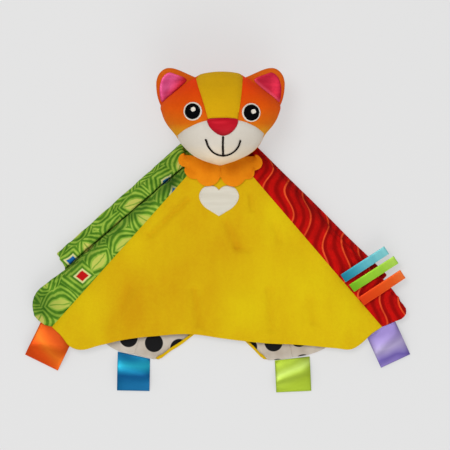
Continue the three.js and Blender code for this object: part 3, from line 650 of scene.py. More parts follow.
stage = {
    "aim": (0.00475, -0.07125), "distance": 3.0, "frameWidth": 0.4275, "sensor": 36, "clip": 20,
    "tableHalf": 4.0, "tableColour": "#e4e4e4", "tableMottle": "#e2e2e2", "tableDrop": 0.0002,
    "tableRoughness": 0.9, "tableSpecular": 0.1, "mottleSize": 0.6,
    "tableGlowShare": 0.6, "skyColour": "#ffffff", "skyStrength": 0.52,
    "keyPlace": (-0.60, 0.70, 2.25), "keySize": 1.1, "keyPower": 21.5,
    "fillPlace": (0.35, -1.7, 1.2), "fillSize": 2.0, "fillPower": 17,
}


def areaLight(name, place, size, power):
    lamp = bpy.data.lights.new(name, "AREA")
    lamp.shape, lamp.size, lamp.energy = "DISK", size, power
    holder = linked(name, lamp)
    holder.location = place
    holder.rotation_euler = (-Vector(place)).to_track_quat("-Z", "Y").to_euler()


# the table glows a little for the camera, which keeps the background an even pale grey
def tableMaterial():
    material, tree, shader = newMaterial(
        "paleTable", stage["tableRoughness"], 0.0, "#ffffff", stage["tableSpecular"],
    )
    mottle = grainNoise(tree, spaceVector(tree), stage["mottleSize"], detail=1.0)
    shade = blendColour(tree, mottle, stage["tableColour"], stage["tableMottle"])
    tree.links.new(shade, shader.inputs["Base Color"])
    glow = put(tree, "ShaderNodeEmission", {"Color": shade, "Strength": 1.0})
    rays = put(tree, "ShaderNodeLightPath").outputs
    seen = calc(tree, "MAXIMUM", rays["Is Camera Ray"], rays["Is Glossy Ray"])
    seen = calc(tree, "MAXIMUM", seen, rays["Is Transmission Ray"])
    glowShare = calc(tree, "MULTIPLY", seen, stage["tableGlowShare"])
    lit = put(tree, "ShaderNodeMixShader", {0: glowShare, 1: shader.outputs[0], 2: glow.outputs[0]})
    tree.links.new(lit.outputs[0], tree.nodes["Material Output"].inputs["Surface"])
    return material


def buildStage():
    lens = bpy.data.cameras.new("camera")
    lens.sensor_width = stage["sensor"]
    lens.lens = stage["sensor"] * stage["distance"] / stage["frameWidth"]
    lens.clip_end = stage["clip"]
    scene.camera = linked("camera", lens)
    scene.camera.location = (neck.x + stage["aim"][0], neck.y + stage["aim"][1], stage["distance"])
    half, drop = stage["tableHalf"], -stage["tableDrop"]
    corners = [(-half, -half, drop), (half, -half, drop), (half, half, drop), (-half, half, drop)]
    newPiece("table", corners, [(0, 1, 2, 3)], tableMaterial())
    scene.world = bpy.data.worlds.new("paleRoom")
    scene.world.use_nodes = True
    background = scene.world.node_tree.nodes["Background"]
    background.inputs[0].default_value = paint(stage["skyColour"])
    background.inputs[1].default_value = stage["skyStrength"]
    areaLight("keyLight", stage["keyPlace"], stage["keySize"], stage["keyPower"])
    areaLight("fillLight", stage["fillPlace"], stage["fillSize"], stage["fillPower"])


buildStage()
print("camera, table and light ready")


# blanket: each side is a sheet of straight lines from the neck to the hem, with a lining under it

blanket = {
    "side": 0.300, "neckWidth": 0.060, "neckDepth": 0.020, "hemDepth": 0.0078,
    "frontReach": 0.023, "hemReach": 0.175, "slopePower": 1.6,
    "ridge": 0.0016, "wave": 0.0018, "waveOnsetShare": 0.35, "sway": 0.0028, "swayPower": 4.3,
    "tuck": 0.0045, "tuckLevel": 0.002, "tuckLeast": 0.0008, "tuckFrom": (-0.020, -0.012),
    "tuckShortShare": 0.85, "tuckShortFrom": (-0.003, 0.004), "tuckParts": (1, 0.75, 0.5, 0.25),
    "tuckFallShare": 0.8,
    "rows": 92, "spacing": 0.0024, "foldPaintedShading": 150, "cloth": 0.0011, "lining": 0.0007, "between": 0.0001,
    "hemRadius": 0.00145, "hemSweep": 150, "hemSteps": 8, "backRadius": 0.0017, "backTurn": 0.0016,
    "plainSweep": 55, "plainTrim": 0.0003, "pipingFadeShare": 0.008, "upperRise": (0.001, 0.004),
    "seamDepth": 0.0011, "seamWidth": 0.0032, "seamClear": 0.012, "rumpleRise": (0.001, 0.006),
    "fanAcross": 2.4, "fanAlong": 0.12, "fanOnset": 0.12, "tinyRatio": (2.3, 1.9), "tinyShare": 0.5,
    "noiseLevels": (1.7, 5.1, 9.4), "shoulderShare": 0.4,
    "hemTrim": 0.0038, "neckTrim": 0.006, "liningInset": 0.0018, "liningSlack": 0.0003,
    "layerSplit": 0.0026, "recessFade": 0.012, "drawnShare": 0.2,
}

frontHemShares = [
    (-0.532, -0.56, 0), (-0.503, -0.586, 0.07), (-0.475, -0.621, 0.27), (-0.443, -0.632, 0.67),
    (-0.38, -0.618, 0.83), (-0.301, -0.6, 0.33), (-0.206, -0.589, 0.07), (-0.089, -0.583, 0.5),
    (0.016, -0.597, 1), (0.127, -0.61, 0.5), (0.253, -0.617, 0.07), (0.364, -0.627, 0.67),
    (0.415, -0.63, 0.83), (0.45, -0.61, 0.33), (0.481, -0.58, 0.07), (0.513, -0.56, 0),
]
frontNeckShares = [(-0.475, -0.364), (-0.25, -0.43), (0, -0.435), (0.27, -0.44), (0.507, -0.412)]

# hem point, neck point, the share of the upper height at each, the share of the ridge,
# and for lines that would run into each other the share of a bend to the side
rightUpperShares = [
    ((0.513, -0.56), (0.507, -0.412), 1, 1, 0),
    ((0.551, -0.543), (0.515, -0.36), 1, 0.95, 0.5),
    ((0.573, -0.535), (0.52, -0.31), 1.02, 0.88, 0.8),
    ((0.587, -0.519), (0.525, -0.26), 1.04, 0.8, 1),
    ((0.587, -0.5), (0.53, -0.21), 1.04, 0.72, 1),
    ((0.57, -0.478), (0.535, -0.15), 1, 0.62, 1),
    ((0.545, -0.44), (0.54, -0.09), 0.95, 0.52, 0.8),
    ((0.526, -0.421), (0.543, -0.03), 0.84, 0.42, 0.3),
    ((0.514, -0.411), (0.544, 0.03), 0.7, 0.34, 0),
]
rightFoldShares = ((0.529, -0.396), (0.538, 0.095), 0.6, 0.3)
rightLowerShares = [
    ((0.427, -0.522), (0.48, 0.02)), ((0.329, -0.629), (0.44, -0.03)),
    ((0.282, -0.647), (0.4, -0.06)), ((0.231, -0.656), (0.364, -0.08)),
]
backShares = [
    ((0.231, -0.656), (0.364, -0.08)), ((0.18, -0.664), (0.31, -0.085)),
    ((0.139, -0.662), (0.26, -0.09)), ((0.108, -0.633), (0.21, -0.09)),
    ((0.079, -0.605), (0.16, -0.09)), ((0.041, -0.565), (0.09, -0.09)),
    ((0, -0.548), (0, -0.09)), ((-0.044, -0.56), (-0.07, -0.09)),
    ((-0.085, -0.587), (-0.13, -0.09)), ((-0.123, -0.616), (-0.19, -0.09)),
    ((-0.158, -0.638), (-0.24, -0.09)), ((-0.196, -0.663), (-0.28, -0.085)),
    ((-0.222, -0.659), (-0.31, -0.083)), ((-0.272, -0.647), (-0.332, -0.08)),
]
leftLowerShares = [
    ((-0.272, -0.647), (-0.332, -0.08)), ((-0.323, -0.635), (-0.38, -0.06)),
    ((-0.361, -0.613), (-0.43, -0.02)), ((-0.443, -0.452), (-0.49, 0.04)),
]
leftFoldShares = ((-0.517, -0.329), (-0.586, 0.135), 0.62, 0.3)
leftUpperShares = [
    ((-0.507, -0.345), (-0.583, 0.047), 0.72, 0.36, 1),
    ((-0.497, -0.358), (-0.576, -0.11), 0.82, 0.62, 1),
    ((-0.4905, -0.3685), (-0.5715, -0.235), 0.86, 0.8, 1),
    ((-0.4885, -0.3765), (-0.5695, -0.268), 0.46, 0.52, 0),
    ((-0.497, -0.384), (-0.5655, -0.276), 0.6, 0.7, 0.2, 0.32),
    ((-0.513, -0.396), (-0.558, -0.284), 0.82, 0.85, 0.5, 0.5),
    ((-0.545, -0.42), (-0.546, -0.294), 1, 0.86, 1, 0.93),
    ((-0.58, -0.45), (-0.534, -0.306), 1.08, 0.89, 1, 1.25),
    ((-0.591, -0.478), (-0.522, -0.318), 1.12, 0.92, 1, 0.75),
    ((-0.591, -0.507), (-0.51, -0.33), 1.12, 0.95, 1, 0.2),
    ((-0.576, -0.537), (-0.498, -0.341), 1.08, 0.97, 0.7),
    ((-0.554, -0.553), (-0.486, -0.353), 1.02, 0.99, 0.4),
    ((-0.532, -0.56), (-0.475, -0.364), 1, 1, 0),
]
# creases and swells in the front, from the neck: start, end, height and half width
frontFolds = [
    ((-0.0309, -0.0475), (-0.0665, -0.0808), -0.0024, 0.0036),
    ((0.0057, -0.0684), (0.0162, -0.0922), -0.0019, 0.0045),
    ((0.0162, -0.0922), (0.0266, -0.0950), -0.0016, 0.0040),
    ((0.0285, -0.0428), (0.0304, -0.0570), -0.0019, 0.0028),
    ((0.0510, -0.0700), (0.0560, -0.0860), -0.0016, 0.0045),
    ((-0.0247, -0.1330), (-0.0190, -0.1665), -0.0029, 0.0036),
    ((0.0466, -0.1330), (0.0485, -0.1700), -0.0024, 0.0036),
    ((0.0860, -0.1420), (0.0880, -0.1640), -0.0019, 0.0040),
    ((-0.0860, -0.1300), (-0.1000, -0.1660), -0.0014, 0.0060),
    ((-0.0420, -0.1000), (-0.0520, -0.1500), 0.0019, 0.0200),
    ((0.1050, -0.1350), (0.1150, -0.1600), 0.0019, 0.0220),
    ((0.0200, -0.1450), (0.0220, -0.1650), 0.0014, 0.0130),
]
# painted light and shade on the front, standing in for the shading of broad swells and hollows: place,
# reach and amount
frontPaintedLightAndShade = [
    ((-0.076, -0.144), 0.034, -0.8), ((-0.050, -0.118), 0.024, -0.4), ((0.112, -0.150), 0.042, 0.6),
    ((0.024, -0.152), 0.022, 0.5), ((-0.116, -0.145), 0.022, 0.4), ((0.055, -0.062), 0.022, 0.4),
    ((0.012, -0.088), 0.018, -0.5), ((0.000, -0.115), 0.026, -0.3), ((-0.070, -0.100), 0.026, 0.2),
    ((0.064, -0.125), 0.026, 0.3),
]


def strokesAlong(start, end, count, reach, amount):
    shares = np.linspace(0, 1, count)
    return [(mix(np.array(start), np.array(end), share), reach, amount) for share in shares]


# painted shade along the left side's fold valley, in its lower corner and near the neck, with one touch of
# painted light; painted shade along the right side's outer fold
leftPaintedShadeAndLight = strokesAlong((-0.1440, -0.1150), (-0.0330, -0.0200), 26, 0.0046, -0.34) + [
    ((-0.1710, -0.1470), 0.016, -0.5), ((-0.0440, -0.0330), 0.010, -0.5), ((-0.1200, -0.1130), 0.008, 0.3),
]
rightPaintedShade = strokesAlong((0.0430, -0.0020), (0.1060, -0.0770), 20, 0.0040, -0.30) + [
    ((0.1420, -0.1130), 0.008, -0.4),
]
foldTurns = np.radians([-90, -60, -30, 0, 30, 60, 90])
rowShares = np.linspace(0, 1, blanket["rows"])


# how high the front lies, which slopes from the neck to the hem
def topHeight(y):
    reach = blanket["hemReach"] - blanket["frontReach"]
    down = np.clip((-y - blanket["frontReach"]) / reach, 0, 1)
    slope = (blanket["neckDepth"] - blanket["hemDepth"]) * (1 - down) ** blanket["slopePower"]
    return blanket["hemDepth"] + slope


# places along a straight line from its neck end to its hem, and the way across it
def linePlan(hem, neckEnd):
    start = np.array(neckEnd) * blanket["neckWidth"]
    end = np.array(hem) * blanket["side"]
    along = unit(end - start)
    return start + (end - start) * rowShares[:, None], np.array([-along[1], along[0]])


def ruledLine(hem, neckEnd, hemLevel=0.0, neckLevel=0.0, bulge=0.0, onset=0.0, sway=0.0):
    plan, aside = linePlan(hem, neckEnd)
    plan = plan + aside * sway * np.sin(np.pi * rowShares[:, None] ** blanket["swayPower"])
    grown = np.maximum(0, (rowShares - onset) / (1 - onset))
    height = topHeight(plan[:, 1]) * mix(neckLevel, hemLevel, rowShares)
    return np.column_stack([plan, height + bulge * np.sin(np.pi / 2 * grown)])


def foldLines(fold, side, turns):
    hem, neckEnd, hemLevel, neckLevel = fold
    plan, aside = linePlan(hem, neckEnd)
    radius = topHeight(plan[:, 1]) * mix(neckLevel, hemLevel, rowShares) / 2
    lines = []
    for turn in turns:
        edge = plan - aside * side * (radius * (1 - math.cos(turn)))[:, None]
        lines.append(np.column_stack([edge, radius * (1 + math.sin(turn))]))
    return lines


def upperLines(table):
    return [
        ruledLine(hem, end, a, b, bulge * blanket["ridge"], sway=sum(sway) * blanket["sway"])
        for hem, end, a, b, bulge, *sway in table
    ]


def lowerLines(table):
    return [ruledLine(hem, end) for hem, end in table]


def gridNormals(grid):
    return unit(np.cross(np.gradient(grid, axis=0), np.gradient(grid, axis=1)))


def runAlong(grid, axis):
    step = np.linalg.norm(np.diff(grid, axis=axis), axis=2)
    first = np.zeros_like(np.take(step, [0], axis=axis))
    return np.cumsum(np.concatenate([first, step], axis=axis), axis=axis)


def fineGrid(lines, spacing):
    coarse = np.stack(lines, axis=1)
    step = np.linalg.norm(np.diff(coarse, axis=1), axis=2).mean(axis=0)
    at = np.concatenate([[0], np.cumsum(step)])
    wanted = []
    for k, length in enumerate(step):
        count = max(2, round(length / spacing))
        wanted += list(at[k] + length * np.arange(count) / count)
    fine = smoothThrough(coarse, at, np.array(wanted + [at[-1]])) + neckPlan
    fine[..., 2] = np.maximum(fine[..., 2], 0)
    return fine


# each fold is a groove or swell round a straight line, with a low shoulder on both sides
def foldPush(plan, folds):
    push = np.zeros(plan.shape[:2])
    for start, end, height, width in folds:
        start, end = np.array(start), np.array(end)
        run = end - start
        share = np.clip(((plan[..., :2] - start) @ run) / (run @ run), 0, 1)
        away = np.linalg.norm(plan[..., :2] - start - share[..., None] * run, axis=2) / width
        push += height * (1 - blanket["shoulderShare"] * away ** 2) * np.exp(-away ** 2)
    return push


# the seams sink in, folds fan out from the neck, and short crinkles run along the cloth
def rumple(grid, seams, fan, crinkle, grain, folds):
    normal = gridNormals(grid)
    across, down = runAlong(grid, 1), runAlong(grid, 0)
    first, last = across, across[:, -1:] - across
    push = np.zeros(grid.shape[:2])
    plan = grid - neckPlan
    finer, levels = blanket["tinyRatio"], blanket["noiseLevels"]
    for i, j in np.ndindex(push.shape):
        x, y, _ = plan[i, j]
        turn, reach = math.atan2(x, -y), math.hypot(x, y)
        u, v = across[i, j] / grain[0], down[i, j] / grain[1]
        broad = noise.noise(Vector((turn * blanket["fanAcross"], reach / blanket["fanAlong"], levels[0])))
        small = noise.noise(Vector((u, v, levels[1])))
        tiny = noise.noise(Vector((u * finer[0], v * finer[1], levels[2])))
        fanned = fan * broad * min(1, reach / blanket["fanOnset"])
        push[i, j] = fanned + crinkle * (small + blanket["tinyShare"] * tiny)
    push += foldPush(plan, folds)
    lifted = ease(grid[..., 2], *blanket["rumpleRise"])
    clear = blanket["seamClear"]
    away = np.minimum(first / clear if seams[0] else 1, last / clear if seams[1] else 1)
    push *= lifted * np.clip(away, 0, 1)
    moved = grid + normal * push[..., None]
    for near, deep in zip((first, last), seams):
        if deep:
            moved[..., 2] -= blanket["seamDepth"] * np.exp(-(near / blanket["seamWidth"]) ** 2)
    moved[..., 2] = np.maximum(moved[..., 2], 0)
    return moved


# the cloth runs on under the head, where a side's upper layer would end in sight
def tucked(grid):
    start = grid[0]
    above = start[:, 1] - neck.y
    share = ease(above, *blanket["tuckFrom"]) * ease(start[:, 2], *blanket["upperRise"])
    short = 1 - blanket["tuckShortShare"] * ease(above, *blanket["tuckShortFrom"])
    reach = blanket["tuckLeast"] + blanket["tuck"] * share * short
    inward = unit((start - grid[1]) * (1, 1, 0)) * reach[:, None]
    low = np.minimum(start[:, 2], blanket["tuckLevel"])
    rows = []
    for part in blanket["tuckParts"]:
        row = start + inward * part
        row[:, 2] = mix(start[:, 2], low, share * ease(part, 0, blanket["tuckFallShare"]))
        rows.append(row)
    return np.concatenate([np.array(rows), grid])


# where the cloth turns round its hem: all along the upper layer, and where the lower one is piped
def turnedShare(grid, piped):
    hem = grid[-1]
    seen = ease(hem[:, 2], *blanket["upperRise"])
    if piped:
        along = (hem[:, 0] - neck.x) / blanket["side"]
        (low, high), fade = piped, blanket["pipingFadeShare"]
        seen = np.maximum(seen, ease(along, low - fade, low) * ease(along, high + fade, high))
    return seen


def hemTurned(grid, radius, sweep, turn, turned):
    down = unit(grid[-1] - grid[-2])
    start = grid[-1] - down * radius
    normal = gridNormals(grid)[-1]
    full = np.radians(mix(blanket["plainSweep"], sweep, turned))[:, None]
    rows = [start]
    for share in np.linspace(0, 1, blanket["hemSteps"] + 1)[1:]:
        angle = full * share
        rows.append(start + down * radius * np.sin(angle) + normal * radius * (np.cos(angle) - 1))
    if turn:
        rows += [rows[-1] - down * turn * share * turned[:, None] for share in (0.5, 1.0)]
    return np.concatenate([grid[:-2], np.array(rows)])


# the lining stops short of the neck and of the hem, further where the hem turns
def trimmed(grid, trim):
    run = runAlong(grid, 0)
    cut = np.empty_like(grid)
    for j in range(grid.shape[1]):
        wanted = np.linspace(blanket["neckTrim"], run[-1, j] - trim[j], grid.shape[0])
        for k in range(3):
            cut[:, j, k] = np.interp(wanted, run[:, j], grid[:, j, k])
    return cut


def drawnIn(grid, first, last):
    moved = grid.copy()
    moved[:, 0] += unit(grid[:, 1] - grid[:, 0]) * first
    moved[:, -1] += unit(grid[:, -2] - grid[:, -1]) * last
    return moved


# a sheet of even thickness under a grid of points, with rounded edges
def closedSheet(name, face, thickness, material, uvs, roundSteps=3):
    rows, columns = face.shape[:2]
    normal = gridNormals(face)
    under = face - normal * thickness
    number = np.arange(rows * columns).reshape(rows, columns)
    ring = [(0, j) for j in range(columns)] + [(i, columns - 1) for i in range(1, rows)]
    ring += [(rows - 1, j) for j in range(columns - 2, -1, -1)]
    ring += [(i, 0) for i in range(rows - 2, 0, -1)]
    points = [face.reshape(-1, 3), under.reshape(-1, 3)]
    flat = uvs.reshape(-1, 2)
    maps = [flat, flat]
    edge = np.array(ring)
    inner = np.column_stack([np.clip(edge[:, 0], 1, rows - 2), np.clip(edge[:, 1], 1, columns - 2)])
    at, behind = face[edge[:, 0], edge[:, 1]], face[inner[:, 0], inner[:, 1]]
    raised = normal[edge[:, 0], edge[:, 1]]
    outward = at - behind
    outward = unit(outward - raised * (outward * raised).sum(axis=1, keepdims=True))
    middle = at - raised * thickness / 2
    levels = [number[edge[:, 0], edge[:, 1]]]
    for k in range(1, roundSteps + 1):
        angle = math.pi * k / (roundSteps + 1)
        ringPoints = middle + (raised * math.cos(angle) + outward * math.sin(angle)) * thickness / 2
        levels.append(sum(len(p) for p in points) + np.arange(len(ring)))
        points.append(ringPoints)
        maps.append(uvs[edge[:, 0], edge[:, 1]])
    levels.append(number[edge[:, 0], edge[:, 1]] + rows * columns)
    a, b = number[:-1, :-1].ravel(), number[1:, :-1].ravel()
    c, d = number[1:, 1:].ravel(), number[:-1, 1:].ravel()
    faces = [np.column_stack([a, b, c, d]), np.column_stack([a, d, c, b]) + rows * columns]
    for high, low in zip(levels[:-1], levels[1:]):
        faces.append(np.column_stack([high, np.roll(high, -1), np.roll(low, -1), low]))
    points = np.concatenate(points)
    points[:, 2] = np.maximum(points[:, 2], 0)
    piece = newPiece(name, points, np.concatenate(faces), material, np.concatenate(maps))
    turnOutwards(piece.data)
    return piece


def clothMap(grid, centreColumn=0):
    across = runAlong(grid, 1)
    across = across - across[:, centreColumn:centreColumn + 1]
    return np.stack([across, runAlong(grid, 0)], axis=2)


# the same for a side folded along a line: its print lies as on the flat cloth
def flatMap(grid, along, turn):
    along = unit(np.array([*along, 0.0]))
    aside = np.array([-along[1], along[0], 0.0])
    step = np.diff(grid, axis=1)
    across = np.linalg.norm(step - (step @ along)[..., None] * along, axis=2)
    across *= np.sign((step[:, 0] @ aside).sum())
    first = (grid[:, :1] - neckPlan) @ aside
    u, v = np.concatenate([first, first + np.cumsum(across, axis=1)], axis=1), (grid - neckPlan) @ along
    c, s = math.cos(turn), math.sin(turn)
    return np.stack([c * u - s * v, s * u + c * v], axis=2)


# dots keep their places on the table, from the neck, as the two back corners show them
dotPlan = {"right": (0.0508, -0.1827), "left": (-0.0627, -0.1833), "turns": np.radians([11, -10]),
           "blend": (-0.026, 0.020)}


def dotMap(grid):
    away = grid[..., :2] - neckPlan[:2]
    share = ease(away[..., 0], *dotPlan["blend"])
    x, y = (away[..., k] - mix(dotPlan["left"][k], dotPlan["right"][k], share) for k in (0, 1))
    turn = mix(*dotPlan["turns"], share)
    c, s = np.cos(turn), np.sin(turn)
    return np.stack([c * x - s * y, s * x + c * y], axis=2)


# paints light and shade into the cloth's "pile" attribute: the listed strokes, painted shade in the creases
# of the folds and painted light on their swells
def paintShadeAndLight(piece, strokes, folds):
    points = np.array([v.co[:2] for v in piece.data.vertices]) - neckPlan[:2]
    pile = np.zeros(len(points))
    for place, reach, amount in strokes:
        pile += amount * np.exp(-(np.linalg.norm(points - place, axis=1) / reach) ** 2)
    pile += foldPush(points[:, None], folds)[:, 0] * blanket["foldPaintedShading"]
    piece.data.attributes.new("pile", "FLOAT", "POINT").data.foreach_set("value", np.clip(pile, -1, 1))


def surfaceTree(names):
    points, polygons = [], []
    for name in names:
        mesh = bpy.data.objects[name].data
        start = len(points)
        points += [v.co.copy() for v in mesh.vertices]
        polygons += [[start + k for k in p.vertices] for p in mesh.polygons]
    return BVHTree.FromPolygons(points, polygons)


# where a straight drop from above lands, or the given height if it misses
def dropOnto(tree, x, y, otherwise=0.02, above=0.3):
    hit, normal, _, _ = tree.ray_cast(Vector((x, y, above)), -up)
    if hit is None:
        return Vector((x, y, otherwise)), up.copy()
    return hit, normal


# the lining of an upper layer stays under its cloth, as seen from above
def keptUnder(grid, columns, tree):
    depth = blanket["cloth"] + blanket["between"] + blanket["liningSlack"]
    for j in np.flatnonzero(columns):
        for point in grid[:, j]:
            if point[2] > blanket["layerSplit"]:
                covered = dropOnto(tree, point[0], point[1], 1.0)[0].z
                point[2] = max(min(point[2], covered - depth), 0)


def buildSide(side):
    name, folds, folded = side["name"], side.get("folds", []), "along" in side
    grid = fineGrid(side["lines"], blanket["spacing"])
    grid = rumple(grid, side["seams"], side["fan"], side["crinkle"], side["grain"], folds)
    turned = turnedShare(grid, side.get("piped"))
    face = hemTurned(tucked(grid) if folded else grid, *side["hem"], turned)
    drawn = blanket["cloth"] * blanket["drawnShare"]
    face = drawnIn(face, drawn, drawn)
    lay = flatMap(face, side["along"], math.radians(side["turn"])) if folded else clothMap(face)
    cloth = closedSheet(name + "Cloth", face, blanket["cloth"], materials[side["material"]], lay)
    # the cloth's "pile" attribute carries painted light and shade
    paintShadeAndLight(cloth, side.get("pile", []), folds)
    trim = mix(blanket["plainTrim"], blanket["hemTrim"], turned)
    if "recess" in side:
        reach, edge = side["recess"]
        trim += reach * ease(neck.x - grid[-1, :, 0], edge, edge + blanket["recessFade"])
    normal = gridNormals(grid)
    top = trimmed(grid - normal * (blanket["cloth"] + blanket["between"]), trim)
    if folded:
        keptUnder(top, normal[..., 2].mean(axis=0) > 0, surfaceTree([cloth.name]))
    insets = [
        mix(blanket["lining"] / 2, blanket["liningInset"], ease(level, *blanket["upperRise"]))
        for level in (top[:, :1, 2], top[:, -1:, 2])
    ]
    top = drawnIn(top, *insets)
    maps = dotMap(top) if side["dots"] else clothMap(top)
    lining = closedSheet(name + "Lining", top, blanket["lining"], materials["dottedCotton"], maps)
    finishPiece(cloth, "blanket", side["slot"], name + "_panel")
    finishPiece(lining, "blanket", "dotted_lining", name + "_lining")
    print("blanket side", name, grid.shape)


neckFront = smoothOutline(frontNeckShares, len(frontHemShares), closed=False)
frontLines = [
    ruledLine((x, y), neckFront[i], 1, 1, wave * blanket["wave"], blanket["waveOnsetShare"])
    for i, (x, y, wave) in enumerate(frontHemShares)
]
rightLines = upperLines(rightUpperShares) + foldLines(rightFoldShares, 1, foldTurns[::-1])
rightLines += lowerLines(rightLowerShares)
leftLines = lowerLines(leftLowerShares) + foldLines(leftFoldShares, -1, foldTurns)
leftLines += upperLines(leftUpperShares)
# radius and sweep of the turned hem, and how far the cloth runs back under it
plainHem = (blanket["hemRadius"], blanket["hemSweep"], 0.0)
pipedHem = (blanket["backRadius"], 180, blanket["backTurn"])
# fan and crinkle are heights in metres, grain is how far apart crinkles lie, across and along
sides = [
    {
        "name": "front", "lines": frontLines, "seams": (1, 1), "hem": plainHem,
        "fan": 0.0022, "crinkle": 0.0005, "grain": (0.022, 0.05), "folds": frontFolds, "pile": frontPaintedLightAndShade,
        "material": "yellowVelour", "slot": "yellow_velour", "dots": False,
        "flat": (0.320, 0.175), "area": 0.0330,
    },
    {
        "name": "right", "lines": rightLines, "seams": (1, 0), "hem": plainHem,
        "fan": 0.0006, "crinkle": 0.0008, "grain": (0.009, 0.05), "pile": rightPaintedShade,
        "material": "waveCotton", "slot": "red_print", "dots": True, "along": (0.78, -0.63), "turn": 36,
        "flat": (0.194, 0.185), "area": 0.0230,
    },
    {
        "name": "back", "lines": lowerLines(backShares), "seams": (0, 0), "hem": pipedHem,
        "piped": (-0.196, 0.139), "fan": 0.0, "crinkle": 0.0, "grain": (0.02, 0.05),
        "material": "yellowVelour", "slot": "yellow_velour", "dots": True,
        "flat": (0.173, 0.175), "area": 0.0187,
    },
    {
        "name": "left", "lines": leftLines, "seams": (0, 1), "hem": plainHem,
        "fan": 0.0006, "crinkle": 0.0011, "grain": (0.008, 0.045), "pile": leftPaintedShadeAndLight,
        "material": "leafCotton", "slot": "green_print", "dots": True, "along": (-0.76, -0.65), "turn": 0,
        "recess": (0.014, 0.114), "flat": (0.226, 0.175), "area": 0.0250,
    },
]
for side in sides:
    buildSide(side)
blanketTree = surfaceTree(["frontCloth", "leftCloth", "rightCloth"])


# head: one smooth stuffed form, cut along its seams into six velour panels

head = {
    "halfWidth": 0.0562, "height": 0.088, "chinDrop": 0.0154, "aside": 0.0005,
    "faceDepth": 0.044, "napeDepth": 0.040, "plane": 0.0395, "power": 2.2,
    "rings": 132, "around": 176, "skin": 0.0012, "fill": 0.0022,
    "seamDepth": 0.0014, "seamWidth": 0.0026, "lump": 0.0007, "lumpSize": 0.02,
    "socket": 0.0139, "poleReach": 0.0012, "snap": 0.00012,
}
# rise, half width and half depth
headShares = [
    (0.0, 0.0, 0.0), (0.012, 0.09, 0.3), (0.05, 0.28, 0.46), (0.11, 0.467, 0.6), (0.2, 0.63, 0.76),
    (0.32, 0.75, 0.89), (0.43, 0.885, 0.97), (0.54, 0.97, 1), (0.64, 1, 0.98), (0.7, 0.925, 0.94),
    (0.76, 0.803, 0.88), (0.82, 0.683, 0.8), (0.88, 0.562, 0.68), (0.94, 0.435, 0.52), (0.98, 0.3, 0.33),
    (0.994, 0.15, 0.17), (1.0, 0.0, 0.0),
]
muzzleTopShares = [
    (-1.3, 0.2), (-0.9, 0.25), (-0.733, 0.309), (-0.626, 0.354), (-0.493, 0.399), (-0.361, 0.435),
    (-0.204, 0.463), (0.042, 0.475), (0.288, 0.463), (0.411, 0.446), (0.51, 0.42), (0.627, 0.38),
    (0.721, 0.337), (0.9, 0.27), (1.3, 0.22),
]
# rise, left edge and right edge of the forehead panel
foreheadShares = [
    (0.4, -0.18, 0.27), (0.463, -0.204, 0.288), (0.713, -0.313, 0.347), (0.94, -0.421, 0.383),
    (1.2, -0.45, 0.42),
]
headMiddle = neck.x + head["aside"]
chinY = neck.y - head["chinDrop"]


def onHead(place):
    return headMiddle + place[0] * head["halfWidth"], chinY + place[1] * head["height"]


def muzzleTop(x):
    share = (x - headMiddle) / head["halfWidth"]
    return chinY + smoothValues(muzzleTopShares, [share])[0, 0] * head["height"]


def foreheadEdges(y):
    rise = (y - chinY) / head["height"]
    left, right = smoothValues(foreheadShares, [rise])[0]
    return headMiddle + left * head["halfWidth"], headMiddle + right * head["halfWidth"]


def headForm(inset=0.0):
    table = [(math.acos(1 - 2 * rise), width, depth) for rise, width, depth in headShares]
    wanted = np.linspace(0, math.pi, head["rings"] + 2)[1:-1]
    around, bend = head["around"], 2 / head["power"]
    bm = bmesh.new()
    rows = []
    for turn, (width, depth) in zip(wanted, smoothValues(table, wanted)):
        y = chinY + inset + (1 - math.cos(turn)) / 2 * (head["height"] - 2 * inset)
        wide = max(width * head["halfWidth"] - inset, inset / 4)
        row = []
        for k in range(around):
            c, s = math.cos(2 * math.pi * k / around), math.sin(2 * math.pi * k / around)
            deep = max(depth * head["faceDepth" if s > 0 else "napeDepth"] - inset, inset / 4)
            x = headMiddle + math.copysign(abs(c) ** bend, c) * wide
            z = head["plane"] + math.copysign(abs(s) ** bend, s) * deep
            row.append(bm.verts.new((x, y, z)))
        rows.append(row)
    for low, high in zip(rows[:-1], rows[1:]):
        for k in range(around):
            after = (k + 1) % around
            bm.faces.new((low[k], low[after], high[after], high[k]))
    for row, y in ((rows[0], chinY + inset), (rows[-1], chinY + head["height"] - inset)):
        pole = bm.verts.new((headMiddle, y, head["plane"]))
        for k in range(around):
            bm.faces.new((row[k], row[(k + 1) % around], pole))
    bmesh.ops.recalc_face_normals(bm, faces=bm.faces)
    bm.normal_update()
    for vert in bm.verts:
        vert.co += vert.normal * noise.noise(vert.co / head["lumpSize"]) * head["lump"]
    return bm


# the neck ball turns in a socket under the head, and the back of the head rests on the table
def fitUnderHead(bm, clearance):
    radius = head["socket"] + clearance
    for vert in bm.verts:
        off = radius ** 2 - (vert.co.x - neck.x) ** 2 - (vert.co.y - neck.y) ** 2
        if off > 0:
            vert.co.z = max(vert.co.z, neck.z + math.sqrt(off))
        vert.co.z = max(vert.co.z, clearance)


# points that all but lie on the cut belong to it, so that no sliver comes off
def cutAlong(bm, value, within):
    level = {vert: value(vert.co) for vert in bm.verts}
    level = {vert: 0 if abs(size) < head["snap"] else size for vert, size in level.items()}
    on = [vert for vert in bm.verts if level[vert] == 0]
    split = [vert for vert in on if any(within(face) for face in vert.link_faces)]
    for edge in list(bm.edges):
        a, b = edge.verts
        if level[a] * level[b] < 0 and any(within(face) for face in edge.link_faces):
            share = level[a] / (level[a] - level[b])
            split.append(bmesh.utils.edge_split(edge, a, share)[1])
    bmesh.ops.connect_verts(bm, verts=split)


